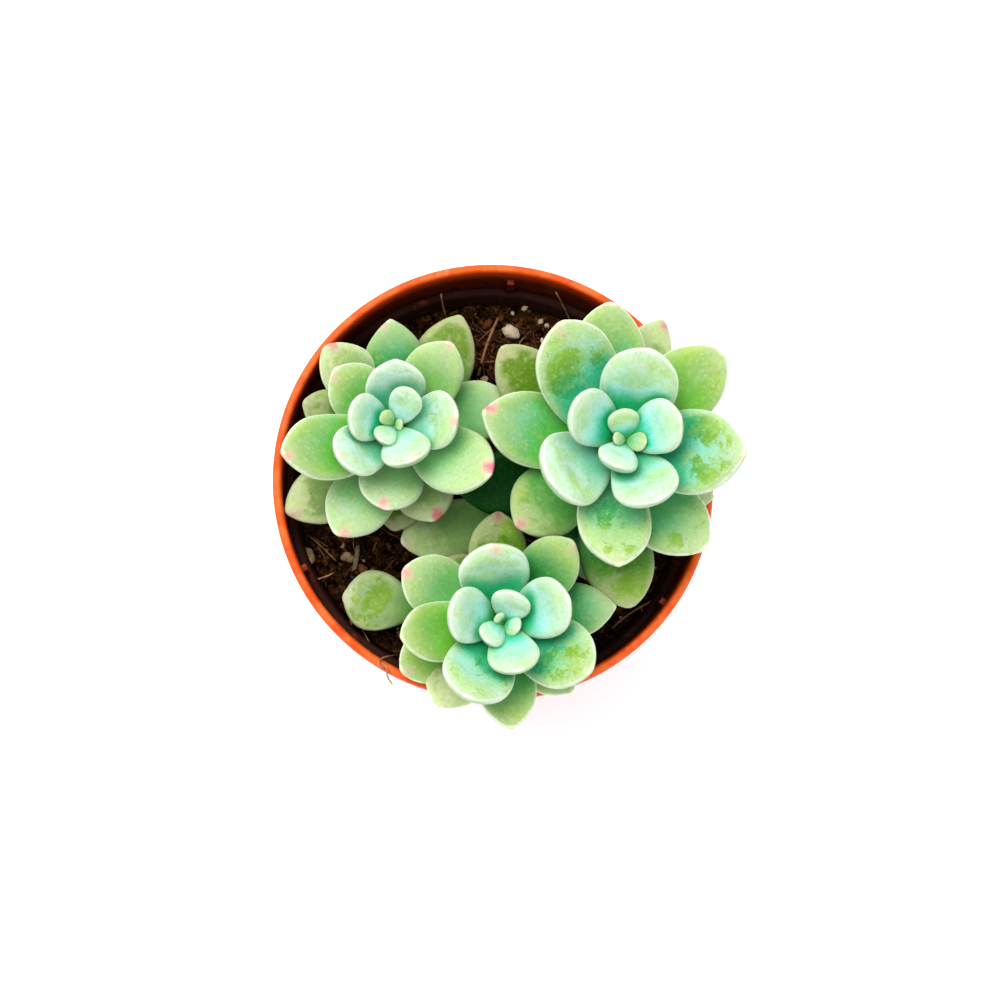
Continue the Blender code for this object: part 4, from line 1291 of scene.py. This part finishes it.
def stem_skin():
    """Grey-green and brown bark of an old stem, in patches, with a rough skin."""
    material, tree, shader, place = new_finish("stem_skin", 0.8)
    patches = placed(tree, BLOTCHES, Vector=place, Size=2.5, Cover=0.5, Softness=0.15)
    feed(tree, shader.inputs["Base Color"], mixed(tree, patches, (0.16, 0.18, 0.07), (0.20, 0.13, 0.07)))
    relief(tree, shader, placed(tree, GRAIN, Vector=place, Size=0.8, Roughness=0.7), 0.3 * MM)
    return material


# %% [markdown]
# ## The rosettes
# Each rosette is grown leaf by leaf into one mesh, with its stem as a tapering tube down to the soil. It
# stands in for the CAD node of the same name, which stays in the physics model.

# %% Grow the three rosettes and the shed leaf
leaf_skin, bark = waxy_leaf_skin(), stem_skin()


def leaf_layers(shape):
    """A named layer for each reading and one for the leaf's own coordinates."""
    for name in LEAF_READINGS:
        shape.verts.layers.float.new(name)
    shape.verts.layers.float_vector.new("leaf_place")
    layers = {name: shape.verts.layers.float[name] for name in LEAF_READINGS}
    layers["leaf_place"] = shape.verts.layers.float_vector["leaf_place"]
    return layers


def stem_tube(name, stem):
    """A mesh of the bare stem, slightly swollen where leaves have been."""
    line = stem_line(stem, 30)
    down = [np.array([*stem["foot"], SOIL_Z - k]) for k in (0.0, 2.5, 5.0)]
    curve = bpy.data.curves.new(name + "_stem", "CURVE")
    curve.dimensions = "3D"
    curve.bevel_depth = MM
    curve.bevel_resolution = 4
    curve.use_fill_caps = True
    spline = curve.splines.new("POLY")
    points = [*line, *down]
    spline.points.add(len(points) - 1)
    for k, (spot, point) in enumerate(zip(spline.points, points)):
        spot.co = (*(point * MM), 1)
        swelling = 1 + 0.08 * sin(2.1 * k)
        spot.radius = swelling * (STEM_TOP_R + (STEM_FOOT_R - STEM_TOP_R) * k / (len(points) - 1))
    return tube_of(curve)


rosettes = {}
for number, (name, stem) in enumerate(STEMS.items()):
    shape = stem_tube(name, stem)
    for face in shape.faces:
        face.material_index = 1
    layers, leaves = leaf_layers(shape), leaves_of(name)
    for index, (ball, leaf) in enumerate(zip(add_balls(shape, LEAF_BALL, len(leaves)), leaves)):
        grow_leaf(ball, layers, *leaf, 100 * number + index)
    rosettes[name] = shape
    print(name + ":", len(leaves), "leaves,", len(shape.faces), "faces")

shape = bmesh.new()
layers = leaf_layers(shape)
ball = add_balls(shape, LEAF_BALL, 1)[0]
shed_place = (np.array(SHED_LEAF["scar"]), *SHED_LEAF["place"])
grow_leaf(ball, layers, shed_place, SHED_LEAF["looks"], SHED_LEAF["age"], SHED_LEAF["seed"])
rosettes["shed_leaf"] = shape

# %% [markdown]
# ## Painted shade where neighbours cover
# Where a leaf is tucked under or against its neighbours, shade is painted into its colour as a deep tone.
# Ambient occlusion nodes would find such places at render time, but they are slow and don't export.
# Instead a few rays are cast once from every point to see how much sky it has, and the share is kept in
# the mesh.

# %% Measure how much sky every point sees
SKY_RAYS = 12
SKY_REACH = 22 * MM
RAY_START = 0.25 * MM
FACING = 0.05                              # rays flatter to the skin than this are not cast
SMOOTHINGS = 3


def sky_directions(count):
    """Directions spread evenly over the upper half of a globe, by the golden angle."""
    made = []
    for k in range(count):
        height = 0.15 + 0.85 * (k + 0.5) / count
        turn = radians(GOLDEN) * k
        level = (1 - height**2)**0.5
        made.append(Vector((level * cos(turn), level * sin(turn), height)))
    return made


def smoothed(shape, values):
    """Each point's value, halfway to the mean of its neighbours' values."""
    made = []
    for v in shape.verts:
        around = [values[e.other_vert(v).index] for e in v.link_edges]
        made.append((values[v.index] + sum(around) / max(1, len(around))) / 2)
    return made


def measure_occlusion(shapes):
    """Writes into the mesh the share of each point's sky that leaves hide, which the skin paints as shade."""
    points, triangles = [], []
    for shape in shapes:
        shape.normal_update()
        first = len(points)
        shape.verts.index_update()
        points += [v.co.copy() for v in shape.verts]
        triangles += [tuple(first + v.index for v in face.verts) for face in shape.faces]
    tree = BVHTree.FromPolygons(points, triangles)
    ways = sky_directions(SKY_RAYS)
    for shape in shapes:
        layer = shape.verts.layers.float["occlusion_shade"]
        raw = []
        for v in shape.verts:
            start, total, hidden = v.co + v.normal * RAY_START, 0.0, 0.0
            for way in ways:
                weight = v.normal.dot(way)
                if weight > FACING:
                    total += weight
                    if tree.ray_cast(start, way, SKY_REACH)[0] is not None:
                        hidden += weight
            raw.append(hidden / total if total else 1.0)
        for _ in range(SMOOTHINGS):
            raw = smoothed(shape, raw)
        for v in shape.verts:
            v[layer] = raw[v.index]


measure_occlusion(list(rosettes.values()))
for name, shape in rosettes.items():
    title = {"shed_leaf": "fallen_leaf"}.get(name, name.replace("rosette", "leaves"))
    piece = object_of(title, shape, leaf_skin, bark)
    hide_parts(name)
    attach(piece, "root")
    cover = [entry.value for entry in piece.data.attributes["occlusion_shade"].data]
    print(title + ": on average", round(sum(cover) / len(cover), 2), "of the sky is covered")
